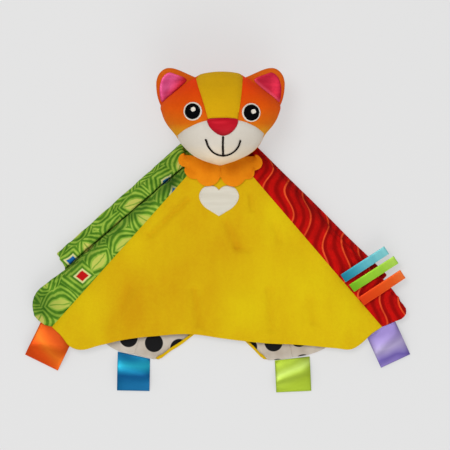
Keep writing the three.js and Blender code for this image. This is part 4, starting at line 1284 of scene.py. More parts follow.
def headRegion(place):
    x, y, z = place
    if z < head["plane"]:
        return "headBackLeft" if x < headMiddle else "headBackRight"
    if y < muzzleTop(x):
        return "muzzlePanel"
    left, right = foreheadEdges(y)
    return "cheekLeft" if x < left else "cheekRight" if x > right else "foreheadPanel"


def sinkSeams(bm, seamPoints):
    tree = KDTree(len(seamPoints))
    for k, point in enumerate(seamPoints):
        tree.insert(point, k)
    tree.balance()
    bm.normal_update()
    moves = []
    for vert in bm.verts:
        away = tree.find(vert.co)[2] / head["seamWidth"]
        moves.append(vert.normal * head["seamDepth"] * math.exp(-away ** 2))
    for vert, move in zip(bm.verts, moves):
        vert.co -= move


def isFront(face):
    return face.calc_center_median().z > head["plane"]


def isBack(face):
    return face.calc_center_median().z < head["plane"]


def isAboveMuzzle(face):
    middle = face.calc_center_median()
    return isFront(face) and middle.y > muzzleTop(middle.x)


def buildHead():
    bm = headForm()
    cutAlong(bm, lambda p: p.z - head["plane"], lambda face: True)
    cutAlong(bm, lambda p: p.y - muzzleTop(p.x), isFront)
    cutAlong(bm, lambda p: p.x - foreheadEdges(p.y)[0], isAboveMuzzle)
    cutAlong(bm, lambda p: p.x - foreheadEdges(p.y)[1], isAboveMuzzle)
    cutAlong(bm, lambda p: p.x - headMiddle, isBack)
    regions = {face: headRegion(face.calc_center_median()) for face in bm.faces}
    seams = [edge for edge in bm.edges if len({regions[face] for face in edge.link_faces}) > 1]
    sinkSeams(bm, [v.co.copy() for edge in seams for v in edge.verts])
    fitUnderHead(bm, 0.0)
    bm.normal_update()
    bm.verts.index_update()
    tree = BVHTree.FromBMesh(bm)
    points = np.array([v.co for v in bm.verts])
    normals = np.array([v.normal for v in bm.verts])
    for pole, way in ((chinY, -1), (chinY + head["height"], 1)):
        normals[np.abs(points[:, 1] - pole) < head["poleReach"]] = (0, way, 0)
    panels = {}
    for face, region in regions.items():
        panels.setdefault(region, []).append([v.index for v in face.verts])
    bm.free()
    return tree, points, normals, panels


# a panel of skin between the outer form and the same form drawn in
def skinPanel(name, points, normals, faces, material):
    used = sorted({k for face in faces for k in face})
    order = {k: i for i, k in enumerate(used)}
    outer, inner = points[used], points[used] - normals[used] * head["skin"]
    count = len(used)
    outside = [[order[k] for k in face] for face in faces]
    edges = {}
    for face in outside:
        for a, b in zip(face, face[1:] + face[:1]):
            edges[(a, b)] = edges.get((a, b), 0) + 1
    rim = [(a, b) for a, b in edges if (b, a) not in edges]
    closed = outside + [[k + count for k in reversed(face)] for face in outside]
    closed += [[b, a, a + count, b + count] for a, b in rim]
    piece = newPiece(name, np.concatenate([outer, inner]), closed, material)
    turnOutwards(piece.data)
    return piece


headTree, headPoints, headNormals, headPanels = buildHead()
panelPlan = {
    "muzzlePanel": ("creamVelour", "cream_velour", "muzzle", (0.112, 0.075), 0.0048),
    "foreheadPanel": ("foreheadVelour", "yellow_velour", "forehead", (0.052, 0.078), 0.0029),
    "cheekLeft": ("orangeVelour", "orange_velour", "cheek_left", (0.062, 0.085), 0.0031),
    "cheekRight": ("orangeVelour", "orange_velour", "cheek_right", (0.062, 0.085), 0.0030),
    "headBackLeft": ("orangeVelour", "orange_velour", "head_back_left", (0.090, 0.120), 0.0068),
    "headBackRight": ("orangeVelour", "orange_velour", "head_back_right", (0.090, 0.120), 0.0068),
}
for name, (material, slot, node, flat, area) in panelPlan.items():
    panel = skinPanel(name, headPoints, headNormals, headPanels[name], materials[material])
    finishPiece(panel, "head", slot, node)


def buildHeadFill():
    bm = headForm(head["fill"])
    fitUnderHead(bm, head["fill"])
    piece = pieceFrom(bm, "headFill", materials["whiteFill"])
    finishPiece(piece, "head", "stuffing", "head_stuffing")


buildHeadFill()
print("head ready")


# neck: a gathered velour sleeve round a stuffed ball

neckBall = {
    "radius": 0.0127, "mouth": 0.005, "cloth": 0.0010, "ball": 0.0110, "farAngle": 0.05,
    "pleats": 26, "pleatDepth": 0.0004, "around": 156, "rings": 34, "tuft": 0.0003, "tuftSize": 0.004,
}


# a ring of points at an angle from the ball's far pole, which lies along -Y
def neckRing(angle):
    around = 2 * math.pi * np.arange(neckBall["around"] + 1) / neckBall["around"]
    wave = neckBall["radius"] + neckBall["pleatDepth"] * np.sin(around * neckBall["pleats"])
    return np.column_stack([
        neck.x + wave * math.sin(angle) * np.cos(around),
        neck.y - wave * math.cos(angle),
        neck.z - wave * math.sin(angle) * np.sin(around),
    ])


def buildNeck():
    mouth = math.pi - math.acos(neckBall["mouth"] / neckBall["radius"])
    angles = np.linspace(mouth, neckBall["farAngle"], neckBall["rings"])
    sleeve = np.array([neckRing(angle) for angle in angles])
    lay = clothMap(sleeve)
    piece = closedSheet("neckSleeve", sleeve, neckBall["cloth"], materials["yellowVelour"], lay)
    finishPiece(piece, "neck_sleeve", "yellow_velour", "neck_sleeve")
    bm = bmesh.new()
    bmesh.ops.create_icosphere(bm, subdivisions=5, radius=neckBall["ball"])
    for vert in bm.verts:
        tuft = noise.noise(vert.co / neckBall["tuftSize"]) * neckBall["tuft"]
        vert.co = vert.co + vert.co.normalized() * tuft + neck
    ball = pieceFrom(bm, "neckFill", materials["whiteFill"])
    finishPiece(ball, "neck_core", "stuffing", "neck_stuffing")


buildNeck()
print("neck ready")


# geometry nodes: a row of stitches along a path, and threads laid side by side

def newGrowth(name, takes):
    takes = {"Geometry": None, **takes, "Material": None}
    tree, taken, given = newTree("GeometryNodeTree", name, takes, ["Geometry"], "Geometry")
    tree.is_modifier = True
    return tree, taken, given


def endGrowth(tree, geometry, material, given):
    real = made(tree, "GeometryNodeRealizeInstances", {"Geometry": geometry})
    smooth = made(tree, "GeometryNodeSetShadeSmooth", {"Geometry": real})
    coloured = made(tree, "GeometryNodeSetMaterial", {"Geometry": smooth, "Material": material})
    tree.links.new(coloured, given["Geometry"])


def buildStitchRow():
    takes = {
        "Spacing": 0.0005, "Length": 0.0018, "Width": 0.0005, "Slant": 1.3, "Unevenness": 0.08, "Seed": 4,
    }
    tree, taken, given = newGrowth("stitchRow", takes)
    path = made(tree, "GeometryNodeMeshToCurve", {"Mesh": taken["Geometry"]})
    inputs = {"Curve": path, "Length": taken["Spacing"]}
    spaced = made(tree, "GeometryNodeResampleCurve", inputs, mode="LENGTH")
    grain = made(tree, "GeometryNodeMeshUVSphere", {"Segments": 8, "Rings": 5, "Radius": 0.5})
    shape = made(tree, "ShaderNodeCombineXYZ", {0: taken["Length"], 1: taken["Width"], 2: taken["Width"]})
    upright = made(tree, "FunctionNodeEulerToRotation", {0: (0.0, math.pi / 2, 0.0)})
    lying = made(tree, "GeometryNodeTransform", {"Geometry": grain, "Rotation": upright})
    thread = made(tree, "GeometryNodeTransform", {"Geometry": lying, "Scale": shape})
    inputs = {"Name": "facing"}
    facing = made(tree, "GeometryNodeInputNamedAttribute", inputs, data_type="FLOAT_VECTOR")
    raised = made(tree, "FunctionNodeAlignRotationToVector", {"Vector": facing}, axis="Z")
    inputs = {"Rotation": raised, "Vector": made(tree, "GeometryNodeInputTangent")}
    turned = made(tree, "FunctionNodeAlignRotationToVector", inputs, axis="X", pivot_axis="Z")
    spin = made(tree, "ShaderNodeCombineXYZ", {2: taken["Slant"]})
    inputs = {"Rotation": turned, "Rotate By": made(tree, "FunctionNodeEulerToRotation", {0: spin})}
    slanted = made(tree, "FunctionNodeRotateRotation", inputs, rotation_space="LOCAL")
    low = calc(tree, "SUBTRACT", 1.0, taken["Unevenness"])
    high = calc(tree, "ADD", 1.0, taken["Unevenness"])
    inputs = {2: low, 3: high, "Seed": taken["Seed"]}
    chance = put(tree, "FunctionNodeRandomValue", inputs, data_type="FLOAT").outputs[1]
    inputs = {"Points": spaced, "Instance": thread, "Rotation": slanted, "Scale": chance}
    placed = made(tree, "GeometryNodeInstanceOnPoints", inputs)
    endGrowth(tree, placed, taken["Material"], given)
    return tree


def buildThreadFill():
    tree, taken, given = newGrowth("threadFill", {"Width": 0.0005, "Sides": 6})
    path = made(tree, "GeometryNodeMeshToCurve", {"Mesh": taken["Geometry"]})
    radius = calc(tree, "MULTIPLY", taken["Width"], 0.5)
    inputs = {"Resolution": taken["Sides"], "Radius": radius}
    section = made(tree, "GeometryNodeCurvePrimitiveCircle", inputs)
    inputs = {"Curve": path, "Profile Curve": section, "Fill Caps": True}
    tube = made(tree, "GeometryNodeCurveToMesh", inputs)
    endGrowth(tree, tube, taken["Material"], given)
    return tree


stitchRow = buildStitchRow()
threadFill = buildThreadFill()


# runs a tree on lines of points and keeps the plain mesh
def grownPiece(name, lines, tree, material, values, closed=False):
    points, edges, facing = [], [], []
    for line in lines:
        start = len(points)
        points += [tuple(place) for place, _ in line]
        facing += [component for _, normal in line for component in normal]
        edges += [(start + k, start + k + 1) for k in range(len(line) - 1)]
        if closed:
            edges.append((len(points) - 1, start))
    mesh = bpy.data.meshes.new(name + "Path")
    mesh.from_pydata(points, edges, [])
    mesh.attributes.new("facing", "FLOAT_VECTOR", "POINT").data.foreach_set("vector", facing)
    holder = linked(name + "Path", mesh)
    modifier = holder.modifiers.new("grow", "NODES")
    modifier.node_group = tree
    inputs = [item for item in tree.interface.items_tree if item.in_out == "INPUT"]
    sockets = {item.name: item.identifier for item in inputs}
    for label, value in {**values, "Material": materials[material]}.items():
        modifier[sockets[label]] = value
    graph = bpy.context.evaluated_depsgraph_get()
    grown = bpy.data.meshes.new_from_object(holder.evaluated_get(graph), depsgraph=graph)
    bpy.data.objects.remove(holder)
    grown.name = name
    return linked(name, grown)


def joined(piece, *others):
    with bpy.context.temp_override(active_object=piece, selected_editable_objects=[piece, *others]):
        bpy.ops.object.join()
    return piece


# a path laid on a surface, at a height above it
def laidOn(tree, plan, height):
    line = []
    for x, y in plan:
        place, normal = dropOnto(tree, x, y)
        line.append((place + normal * height, normal))
    return line


# a closed patch over an outline, laid on a surface; profile gives its height from rim (share 1) to centre
def laidPatch(name, outline, centre, tree, profile, material, rings, low=0.0):
    shares = np.sin(np.linspace(math.pi / 2, 0, rings, endpoint=False))
    points, faces, count = [], [], len(outline)

    def lay(x, y, height):
        place, normal = dropOnto(tree, x, y)
        points.append(place + normal * height)

    for level in (0, 1):
        for share in shares:
            for x, y in outline:
                height = low if level else profile(share)
                lay(mix(centre[0], x, share), mix(centre[1], y, share), height)
        lay(centre[0], centre[1], low if level else profile(0.0))
    half = rings * count + 1
    for k in range(count):
        after = (k + 1) % count
        faces.append((k, after, half + after, half + k))
        for start in (0, half):
            for ring in range(rings - 1):
                a, b = start + ring * count, start + (ring + 1) * count
                faces.append((a + k, a + after, b + after, b + k))
            inner = start + (rings - 1) * count
            faces.append((inner + k, inner + after, start + half - 1))
    piece = newPiece(name, points, faces, materials[material])
    turnOutwards(piece.data)
    return piece


# the height of a padded patch above its surface, from its rim (share 1) to its centre
def domed(share, level, crown, power, steepness=1.0):
    return level + crown * (1 - share ** power) ** steepness


def circlePlan(x, y, radius, count):
    turns = 2 * math.pi * np.arange(count) / count
    return [(x + radius * math.cos(t), y + radius * math.sin(t)) for t in turns]


# threads side by side across a disc, each following the face
def discThreads(tree, x, y, radius, spacing, angle, height):
    lines = []
    c, s = math.cos(angle), math.sin(angle)
    count = int(radius / spacing)
    for k in range(-count, count + 1):
        off = k * spacing
        chord = math.sqrt(max(radius ** 2 - off ** 2, 0))
        if chord < spacing:
            continue
        steps = max(3, round(2 * chord / face["threadStep"]))
        plan = [(x + c * t - s * off, y + s * t + c * off) for t in np.linspace(-chord, chord, steps)]
        lines.append(laidOn(tree, plan, height))
    return lines


# face: embroidered eyes and mouth, and a satin nose

face = {
    "eyes": {"Left": (-0.454, 0.561), "Right": (0.506, 0.549)},
    "glintShift": {"Left": (0.0009, 0.0018), "Right": (0.0016, 0.0010)},
    "thread": 0.00048, "threadShare": 0.86, "threadStep": 0.0012,
    "rimStitch": 0.0007, "rimShift": 0.0001, "rimHeight": 0.00055, "rimSteps": 110, "rimSpacing": 0.00042,
}
# an eye's discs: a padded base that rises from its level by its crown, and threads at a height over it
discs = {
    "Ring": {
        "radius": 0.0082, "trim": 0.0002, "around": 72, "rings": 8, "low": 0.0,
        "level": 0.0004, "crown": 0.0003, "power": 4, "material": "whiteThread",
    },
    "Pupil": {
        "radius": 0.0070, "trim": 0.0002, "around": 64, "rings": 10, "low": 0.0005,
        "level": 0.0007, "crown": 0.0006, "power": 3, "material": "blackThread", "slot": "black_thread",
        "angle": 78, "height": 0.00115,
    },
    "Glint": {
        "radius": 0.0021, "trim": 0.0001, "around": 36, "rings": 6, "low": 0.0011,
        "level": 0.0013, "crown": 0.0005, "power": 3, "material": "whiteThread", "slot": "white_thread",
        "angle": 20, "height": 0.0017,
    },
}
noseShares = [
    (-0.215, 0.472), (-0.098, 0.487), (0.041, 0.489), (0.181, 0.487), (0.286, 0.472), (0.268, 0.413),
    (0.205, 0.357), (0.118, 0.318), (0.045, 0.308), (-0.033, 0.322), (-0.121, 0.361), (-0.19, 0.413),
]
nose = {
    "centreShare": (0.04, 0.41), "level": 0.0005, "crown": 0.0019, "power": 3, "steepness": 0.7,
    "around": 96, "rings": 20,
    "satin": {"colour": "#ce1028", "deep": "#b80a20", "gloss": 0.3, "roughness": 0.5},
    # painted shade towards the nose's lower edge: its colour, and where it starts and fades
    "paintedShadeColour": "#98091a", "paintedShadingShares": [(0.04, 0.30), (0.04, 0.42)],
    "borderShare": 0.97, "height": 0.0006,
    "stitches": {"Spacing": 0.00042, "Length": 0.0013, "Width": 0.00045, "Slant": math.pi / 2},
}
smileShares = [
    (-0.241, 0.269), (-0.197, 0.194), (-0.099, 0.127), (0.045, 0.1), (0.19, 0.127), (0.288, 0.189),
    (0.329, 0.259),
]
philtrumShares = [(0.045, 0.298), (0.04, 0.2), (0.045, 0.1)]
mouth = {
    "width": 0.0023, "coreShare": 0.62, "sides": 10, "height": 0.00045, "lift": 0.0002,
    "smileSteps": 60, "philtrumSteps": 24,
    "row": {"Spacing": 0.0004, "Width": face["thread"], "Slant": 1.25},
}


def discBase(side, name, x, y):
    disc = discs[name]
    outline = circlePlan(x, y, disc["radius"] - disc["trim"], disc["around"])
    return laidPatch(
        "eye" + side + name, outline, (x, y), headTree,
        lambda share: domed(share, disc["level"], disc["crown"], disc["power"]),
        disc["material"], disc["rings"], disc["low"],
    )


def sewnDisc(side, name, x, y):
    disc = discs[name]
    base = discBase(side, name, x, y)
    spacing = face["thread"] * face["threadShare"]
    angle = math.radians(disc["angle"])
    lines = discThreads(headTree, x, y, disc["radius"], spacing, angle, disc["height"])
    sewn = grownPiece("discThreads", lines, threadFill, disc["material"], {"Width": face["thread"]})
    finishPiece(joined(base, sewn), "head", disc["slot"], "eye_" + side.lower() + "_" + name.lower())


def buildEye(side, place):
    x, y = onHead(place)
    ring, pupil = discs["Ring"]["radius"], discs["Pupil"]["radius"]
    base = discBase(side, "Ring", x, y)
    rim = circlePlan(x, y, (ring + pupil) / 2 + face["rimShift"], face["rimSteps"])
    values = {
        "Spacing": face["rimSpacing"], "Length": ring - pupil + face["rimStitch"], "Width": face["thread"],
        "Slant": math.pi / 2,
    }
    line = laidOn(headTree, rim, face["rimHeight"])
    stitches = grownPiece("ringStitches", [line], stitchRow, "whiteThread", values, closed=True)
    finishPiece(joined(base, stitches), "head", "white_thread", "eye_" + side.lower() + "_white")
    sewnDisc(side, "Pupil", x, y)
    shift = face["glintShift"][side]
    sewnDisc(side, "Glint", x + shift[0], y + shift[1])


def buildNose():
    # painted shade darkens the nose's satin towards its lower edge
    low, high = (onHead(share) for share in nose["paintedShadingShares"])
    paintedShading = {"colour": nose["paintedShadeColour"], "start": low, "end": high}
    materials["crimsonSatin"] = satinMaterial("crimsonSatin", **nose["satin"], paintedShading=paintedShading)
    outline = smoothOutline([onHead(share) for share in noseShares], nose["around"])
    centre = onHead(nose["centreShare"])
    patch = laidPatch(
        "nosePatch", outline, centre, headTree,
        lambda share: domed(share, nose["level"], nose["crown"], nose["power"], nose["steepness"]),
        "crimsonSatin", nose["rings"],
    )
    border = [(mix(centre[0], x, nose["borderShare"]), mix(centre[1], y, nose["borderShare"]))
              for x, y in outline]
    line = laidOn(headTree, border, nose["height"])
    edge = grownPiece("noseStitches", [line], stitchRow, "crimsonThread", nose["stitches"], closed=True)
    finishPiece(joined(patch, edge), "head", "crimson_satin", "nose")


def buildMouth():
    lines = []
    for shares, steps in ((smileShares, "smileSteps"), (philtrumShares, "philtrumSteps")):
        plan = smoothOutline([onHead(share) for share in shares], mouth[steps], closed=False)
        lines.append(laidOn(headTree, plan, mouth["height"]))
    values = {"Width": mouth["width"] * mouth["coreShare"], "Sides": mouth["sides"]}
    core = grownPiece("mouthStitches", lines, threadFill, "brownThread", values)
    values = {**mouth["row"], "Length": mouth["width"]}
    raised = [[(place + normal * mouth["lift"], normal) for place, normal in line] for line in lines]
    row = grownPiece("mouthRow", raised, stitchRow, "brownThread", values)
    finishPiece(joined(core, row), "head", "brown_thread", "mouth_stitching")


for side, place in face["eyes"].items():
    buildEye(side, place)
buildNose()
buildMouth()
print("face ready")


# ears: a stuffed velour shell, dished in front, with a satin inset

ear = {
    "width": 0.0413, "swell": 0.0050, "dish": 0.0030, "facePower": 0.7, "dishPower": 3, "backPower": 0.8,
    "around": 128, "rings": 24, "tuck": 0.0010, "middleShare": (0.5, 0.24), "blendReach": 0.009,
    "satinLift": 0.0005, "satinLevel": 0.00005, "satinLow": -0.0002, "satinAround": 84, "satinRings": 14,
    "satinPower": 6, "satinGloss": 0.4,
    "seamLow": (-1, 0.654), "seamHigh": (-0.433, 0.952),
    # each ear's satin colours; "low" is painted shade on the left ear and a painted highlight on the right,
    # near the seam
    "satin": {
        "Left": {"colour": "#d8588c", "deep": "#c43c70", "low": "#a80c20"},
        "Right": {"colour": "#c4203e", "deep": "#b01434", "low": "#cc4058"},
    },
    "paintedShadingShares": {"Left": [(0.45, 0.04), (0.4, 0.24)], "Right": [(0.45, 0.06), (0.45, 0.12)]},
}
earShares = [
    (-0.02, -0.02), (0.04, 0.165), (0.145, 0.348), (0.262, 0.488), (0.373, 0.56), (0.484, 0.587),
    (0.614, 0.568), (0.723, 0.484), (0.803, 0.37), (0.872, 0.238), (0.94, 0.098), (1.0, -0.02),
]
earInnerShares = [
    (0.06, 0.03), (0.16, 0.248), (0.28, 0.375), (0.4, 0.449), (0.5, 0.47), (0.597, 0.453),
    (0.69, 0.328), (0.8, 0.06), (0.6, 0.03), (0.4, 0.03), (0.2, 0.03),
]


def earOutline(shares, count):
    return smoothOutline(np.array(shares) * ear["width"], count)


# from the ear's own frame, along its seam and outwards from it, to its place on the head
def earPlace(side):
    low, high = (Vector((*onHead(ear[key]), head["plane"])) for key in ("seamLow", "seamHigh"))
    along = (high - low).normalized()
    outward = Vector((-along.y, along.x, 0))
    placing = Matrix((along, outward, up)).transposed().to_4x4()
    placing.translation = low - outward * ear["tuck"]
    if side == "Right":
        flip = Matrix.Diagonal((-1, 1, 1, 1))
        flip.translation = (2 * headMiddle, 0, 0)
        placing = flip @ placing
    return placing


# satin with painted shading near the ear's seam: painted shade on the left ear, a painted highlight on the
# right
def earSatin(side, placing):
    look = ear["satin"][side]
    start, end = (
        placing @ Vector((x * ear["width"], y * ear["width"], 0)) for x, y in ear["paintedShadingShares"][side]
    )
    paintedShading = {"colour": look["low"], "start": tuple(start[:2]), "end": tuple(end[:2])}
    return satinMaterial("earSatin" + side, look["colour"], look["deep"], ear["satinGloss"], paintedShading=paintedShading)


def earShell(side):
    outline = earOutline(earShares, ear["around"])
    centre = np.array(ear["middleShare"]) * ear["width"]
    points, rows = [], []
    for angle in np.linspace(0, math.pi, 2 * ear["rings"] + 1)[1:-1]:
        share, rise = math.sin(angle), math.cos(angle)
        if rise >= 0:
            height = ear["swell"] * rise ** ear["facePower"] - ear["dish"] * rise ** ear["dishPower"]
        else:
            height = -ear["swell"] * (-rise) ** ear["backPower"]
        rows.append(len(points) + np.arange(len(outline)))
        points += [(x, y, height) for x, y in centre + (outline - centre) * share]
    top, bottom = len(points), len(points) + 1
    points += [(*centre, ear["swell"] - ear["dish"]), (*centre, -ear["swell"])]
    around = [(k, (k + 1) % len(outline)) for k in range(len(outline))]
    faces = []
    for a, b in zip(rows[:-1], rows[1:]):
        faces += [(a[k], b[k], b[after], a[after]) for k, after in around]
    faces += [(rows[0][k], rows[0][after], top) for k, after in around]
    faces += [(rows[-1][after], rows[-1][k], bottom) for k, after in around]
    shell = newPiece("ear" + side, points, faces, materials["earVelour"])
    turnOutwards(shell.data)
    return shell


def buildEar(side):
    shell = earShell(side)
    placing = earPlace(side)
    satin = earSatin(side, placing)
    materials[satin.name] = satin
    inner = earOutline(earInnerShares, ear["satinAround"])
    inset = laidPatch(
        "ear" + side + "Satin", inner, tuple(inner.mean(axis=0)), surfaceTree([shell.name]),
        lambda share: domed(share, ear["satinLevel"], ear["satinLift"], ear["satinPower"], 0.5),
        satin.name, ear["satinRings"], ear["satinLow"],
    )
    node = "ear_" + side.lower()
    for piece, slot, name in ((shell, "orange_felt", node), (inset, "pink_satin", node + "_satin")):
        piece.data.transform(placing)
        turnOutwards(piece.data)
        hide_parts(name)
        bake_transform(piece)


buildEar("Left")
buildEar("Right")
print("ears ready")


# collar: two felt flaps with scalloped edges that stand a little off the blanket

collar = {
    "felt": 0.0014, "clear": 0.0003, "rows": 16, "columnsPerWidth": 100, "leastColumns": 4, "neckSteps": 60,
    "smoothing": 4,
    "lift": 0.0016, "curlShare": 0.4, "curlTurns": 9,
    "sag": 0.0042, "sagFrom": (0.016, 0.034), "dip": 0.003, "dipShare": 0.6, "dipFrom": (0.003, 0.010),
}
# each flap's neck edge, and the scallops of its outer edge: start, end and bulge
collarShares = {
    "left": {
        "neckEdge": [(-0.56, -0.075), (-0.4, -0.11), (-0.2, -0.18), (0.0, -0.25)],
        "arcs": [
            ((-0.57, -0.079), (-0.545, -0.26), 0.085), ((-0.545, -0.26), (-0.36, -0.45), 0.075),
            ((-0.36, -0.45), (-0.001, -0.405), 0.14),
        ],
    },
    "right": {
        "neckEdge": [(0.017, -0.25), (0.2, -0.19), (0.4, -0.12), (0.55, -0.1)],
        "arcs": [
            ((0.018, -0.405), (0.39, -0.452), 0.145), ((0.39, -0.452), (0.53, -0.312), 0.06),
            ((0.53, -0.312), (0.56, -0.1), 0.11),
        ],
    },
}


# points on the round stretch between two corners, bulging to the right of the way it runs
def arcPoints(start, end, bulge, count):
    a, b = np.array(start, float), np.array(end, float)
    half = np.linalg.norm(b - a) / 2
    along = (b - a) / (2 * half)
    side = np.array([along[1], -along[0]])
    radius = (half ** 2 + bulge ** 2) / (2 * bulge)
    middle = (a + b) / 2 - side * (radius - bulge)
    reach = math.atan2(half, radius - bulge)
    turns = np.linspace(-reach, reach, count)
    return [middle + side * radius * math.cos(t) + along * radius * math.sin(t) for t in turns]


def evenly(points, count):
    line = np.array(points, float)
    step = np.linalg.norm(np.diff(line, axis=0), axis=1)
    at = np.concatenate([[0], np.cumsum(step)])
    wanted = np.linspace(0, at[-1], count)
    return np.column_stack([np.interp(wanted, at, line[:, k]) for k in range(line.shape[1])])


def collarHeight(x, y, down):
    off = abs(x - neck.x)
    sag = collar["sag"] * ease(off, *collar["sagFrom"])
    dip = collar["dip"] * ease(-down, -collar["dipShare"], 0) * ease(off, *collar["dipFrom"])
    level = float(topHeight(y - neck.y)) - sag - dip
    level = max(dropOnto(blanketTree, x, y, level)[0].z, level)
    swing = collar["curlShare"] * math.sin(collar["curlTurns"] * x / blanket["neckWidth"])
    curl = collar["lift"] * down ** 2 * (1 - collar["curlShare"] + swing)
    return level + collar["clear"] + collar["felt"] + curl


def buildCollar(side):
    plan = collarShares[side]
    bottom = [np.array(plan["arcs"][0][0])]
    for start, end, bulge in plan["arcs"]:
        count = collar["leastColumns"] + round(collar["columnsPerWidth"] * math.dist(start, end))
        bottom += arcPoints(start, end, bulge, count)[1:]
    columns = len(bottom)
    top = evenly(smoothOutline(plan["neckEdge"], collar["neckSteps"], closed=False), columns)
    grid = np.zeros((collar["rows"], columns, 3))
    for i, down in enumerate(np.linspace(0, 1, collar["rows"])):
        for j in range(columns):
            x, y = mix(top[j], bottom[j], down) * blanket["neckWidth"] + neckPlan[:2]
            grid[i, j] = (x, y, collarHeight(x, y, down))
    level = grid[..., 2]
    for _ in range(collar["smoothing"]):
        level[1:-1, 1:-1] = (level[:-2, 1:-1] + level[2:, 1:-1] + level[1:-1, :-2] + level[1:-1, 2:]) / 4
    name = "collar" + side.capitalize()
    felt = materials["orangeFelt"]
    flap = closedSheet(name, grid, collar["felt"], felt, clothMap(grid), roundSteps=4)
    finishPiece(flap, "blanket", "orange_felt", "collar_" + side)


buildCollar("left")
buildCollar("right")


# heart patch: plain white satin with a raised rim and a line of stitches

heart = {
    "width": 0.0377, "place": (-0.00095, -0.047), "level": 0.0003, "low": 0.0002, "lift": 0.0006,
    "rim": 0.00022, "rimShare": 0.95, "rimWidthShare": 0.03, "rings": 26, "power": 14, "halfSteps": 48,
    "stitchShare": 0.9, "stitchHeight": 0.001,
    "stitches": {"Spacing": 0.0026, "Length": 0.0019, "Width": 0.00042, "Slant": 0.0},
}
heartShares = [
    (0, 0.235), (0.08, 0.31), (0.22, 0.345), (0.36, 0.31), (0.46, 0.21), (0.5, 0.08), (0.46, -0.06),
    (0.36, -0.19), (0.18, -0.31), (0, -0.42),
]


def heartHeight(share):
    rim = heart["rim"] * math.exp(-((share - heart["rimShare"]) / heart["rimWidthShare"]) ** 2)
    return domed(share, heart["level"], heart["lift"], heart["power"], 0.5) + rim


def buildHeart():
    half = smoothOutline(heartShares, heart["halfSteps"], closed=False)
    shape = np.concatenate([half, half[-2:0:-1] * (-1, 1)]) * heart["width"]
    middle = np.array(heart["place"]) + neckPlan[:2]
    patch = laidPatch(
        "heartPatch", shape + middle, tuple(middle), blanketTree, heartHeight, "whiteSatin",
        heart["rings"], heart["low"],
    )
    finishPiece(patch, "blanket", "white_satin", "heart_label")
    line = laidOn(blanketTree, shape * heart["stitchShare"] + middle, heart["stitchHeight"])
    stitches = grownPiece("heartStitches", [line], stitchRow, "whiteThread", heart["stitches"], closed=True)
    finishPiece(stitches, "blanket", "white_thread")


buildHeart()
print("collar and heart ready")


# ribbons: folded double and sewn in at the seam

ribbon = {
    "cloth": 0.00045, "columns": 26, "bendSteps": 12, "runSteps": 34, "camberShare": 0.02, "camberPower": 5,
    "seat": 0.0006, "pinch": 0.0003, "openShare": 0.6, "blendReach": 0.008, "bendLength": 0.002,
    "inside": {"Tag": 0.0016, "Streamer": 0.0010}, "crestLimits": (0.2, 0.85),
}
# tags at the two outer corners hang from the front's height, and the other two lie on the table
highTag = {"base": 0.0046, "tip": 0.0006, "tuck": 0.0042}
flatTag = {"base": 0.0, "tip": 0.0}
# seam ends as shares of the blanket's side, which way the loop hangs, and its share of the length
tags = {
    "Orange": {
        "start": (-0.5657, -0.544), "end": (-0.4757, -0.6197), "hang": (-0.44, -0.898), "share": 0.95,
        "bow": 0.0036, "skew": -0.7, "crest": 0.58, **highTag,
    },
    "Blue": {
        "start": (-0.323, -0.6367), "end": (-0.2217, -0.6593), "hang": (-0.02, -1), "share": 1.07,
        "bow": 0.0042, "skew": 0.3, "crest": 0.56, **flatTag,
    },
    "Lime": {
        "start": (0.174, -0.6647), "end": (0.2833, -0.652), "hang": (0.045, -1), "share": 1.0,
        "bow": 0.0040, "skew": -0.6, "crest": 0.56, **flatTag,
    },
    "Purple": {
        "start": (0.4707, -0.604), "end": (0.553, -0.5423), "hang": (0.42, -0.907), "share": 0.98,
        "bow": 0.0040, "skew": -0.4, "crest": 0.56, **highTag,
    },
}
streamers = {
    "Teal": {"start": (0.4015, -0.4135), "end": (0.3865, -0.3905), "share": 0.98},
    "Lime": {"start": (0.4287, -0.444), "end": (0.413, -0.4225), "hang": (0.84, 0.54), "share": 1.0},
    "Orange": {"start": (0.4595, -0.487), "end": (0.443, -0.462), "share": 0.94},
}
# a streamer lies level at its own height, tucked under the front's seam, and bows only a little
streamerForm = {"tuck": 0.0026, "bow": 0.0006, "skew": 0.0, "crest": 0.5}


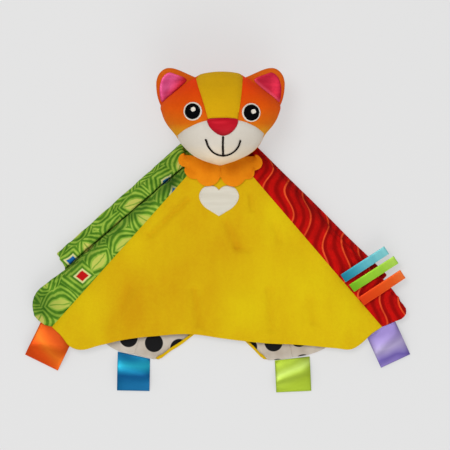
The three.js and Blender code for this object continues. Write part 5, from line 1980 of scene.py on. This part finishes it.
# the loop's outer face, from its seam over the top layer, round the end and back under
def ribbonFace(plan, length, inside):
    start, end = (
        np.array([*point, 0]) * blanket["side"] + neckPlan for point in (plan["start"], plan["end"])
    )
    seam = end - start
    width = np.linalg.norm(seam)
    away = unit(np.array([*plan.get("hang", (seam[1], -seam[0])), 0.0]))
    outer = ribbon["cloth"] + inside / 2
    seat = ribbon["seat"] - plan.get("tuck", 0.0)
    runs = np.linspace(0, 1, ribbon["runSteps"])
    opened = [mix(ribbon["pinch"], outer, ease(share, 0, ribbon["openShare"])) for share in runs]
    # share of the run, height off the middle, reach round the bend, and how far the face looks up
    steps = [(share, height, 0.0, 1) for share, height in zip(runs, opened)]
    for angle in np.linspace(0, math.pi, ribbon["bendSteps"] + 1)[1:-1]:
        steps.append((1, outer * math.cos(angle), math.sin(angle), math.cos(angle)))
    steps += [(share, -height, 0.0, -1) for share, height in zip(runs[::-1], opened[::-1])]
    grid = np.zeros((len(steps), ribbon["columns"], 3))
    for j, w in enumerate(np.linspace(0, 1, ribbon["columns"])):
        run = length - outer - (w - 0.5) * seam.dot(away) - seat
        crest = np.clip(plan["crest"] + plan["skew"] * (w - 0.5) * 0.5, *ribbon["crestLimits"])
        power = math.log(0.5) / math.log(crest)
        for i, (share, height, beyond, upper) in enumerate(steps):
            puff = plan["bow"] * math.sin(math.pi * share ** power) * max(upper, 0)
            edge = ribbon["camberShare"] * width * abs(2 * w - 1) ** ribbon["camberPower"] * max(upper, 0)
            fall = mix(plan["base"], plan["tip"], share) + outer
            along = seat + share * run + outer * beyond
            grid[i, j] = start + seam * w + away * along + np.array([0, 0, fall + height + puff - edge])
    return grid, start + seam / 2, away, width


def buildRibbon(kind, colour, plan):
    word, inside = colour.lower(), ribbon["inside"][kind]
    node = kind.lower() + "_" + word
    length = loops[kind] * plan["share"]
    grid, seam, away, width = ribbonFace(plan, length, inside)
    name = kind.lower() + colour
    satin = materials[word + kind]
    piece = closedSheet(name, grid, ribbon["cloth"], satin, clothMap(grid), roundSteps=2)
    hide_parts(node)
    seam = seam + np.array([0, 0, plan["base"] + ribbon["cloth"] + inside / 2])
    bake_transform(piece)


for colour, plan in tags.items():
    buildRibbon("Tag", colour, plan)
for colour, plan in streamers.items():
    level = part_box("streamer_" + colour.lower())[0].z
    buildRibbon("Streamer", colour, {**streamerForm, **plan, "base": level, "tip": level})
print("ribbons ready")

print("all pieces ready")
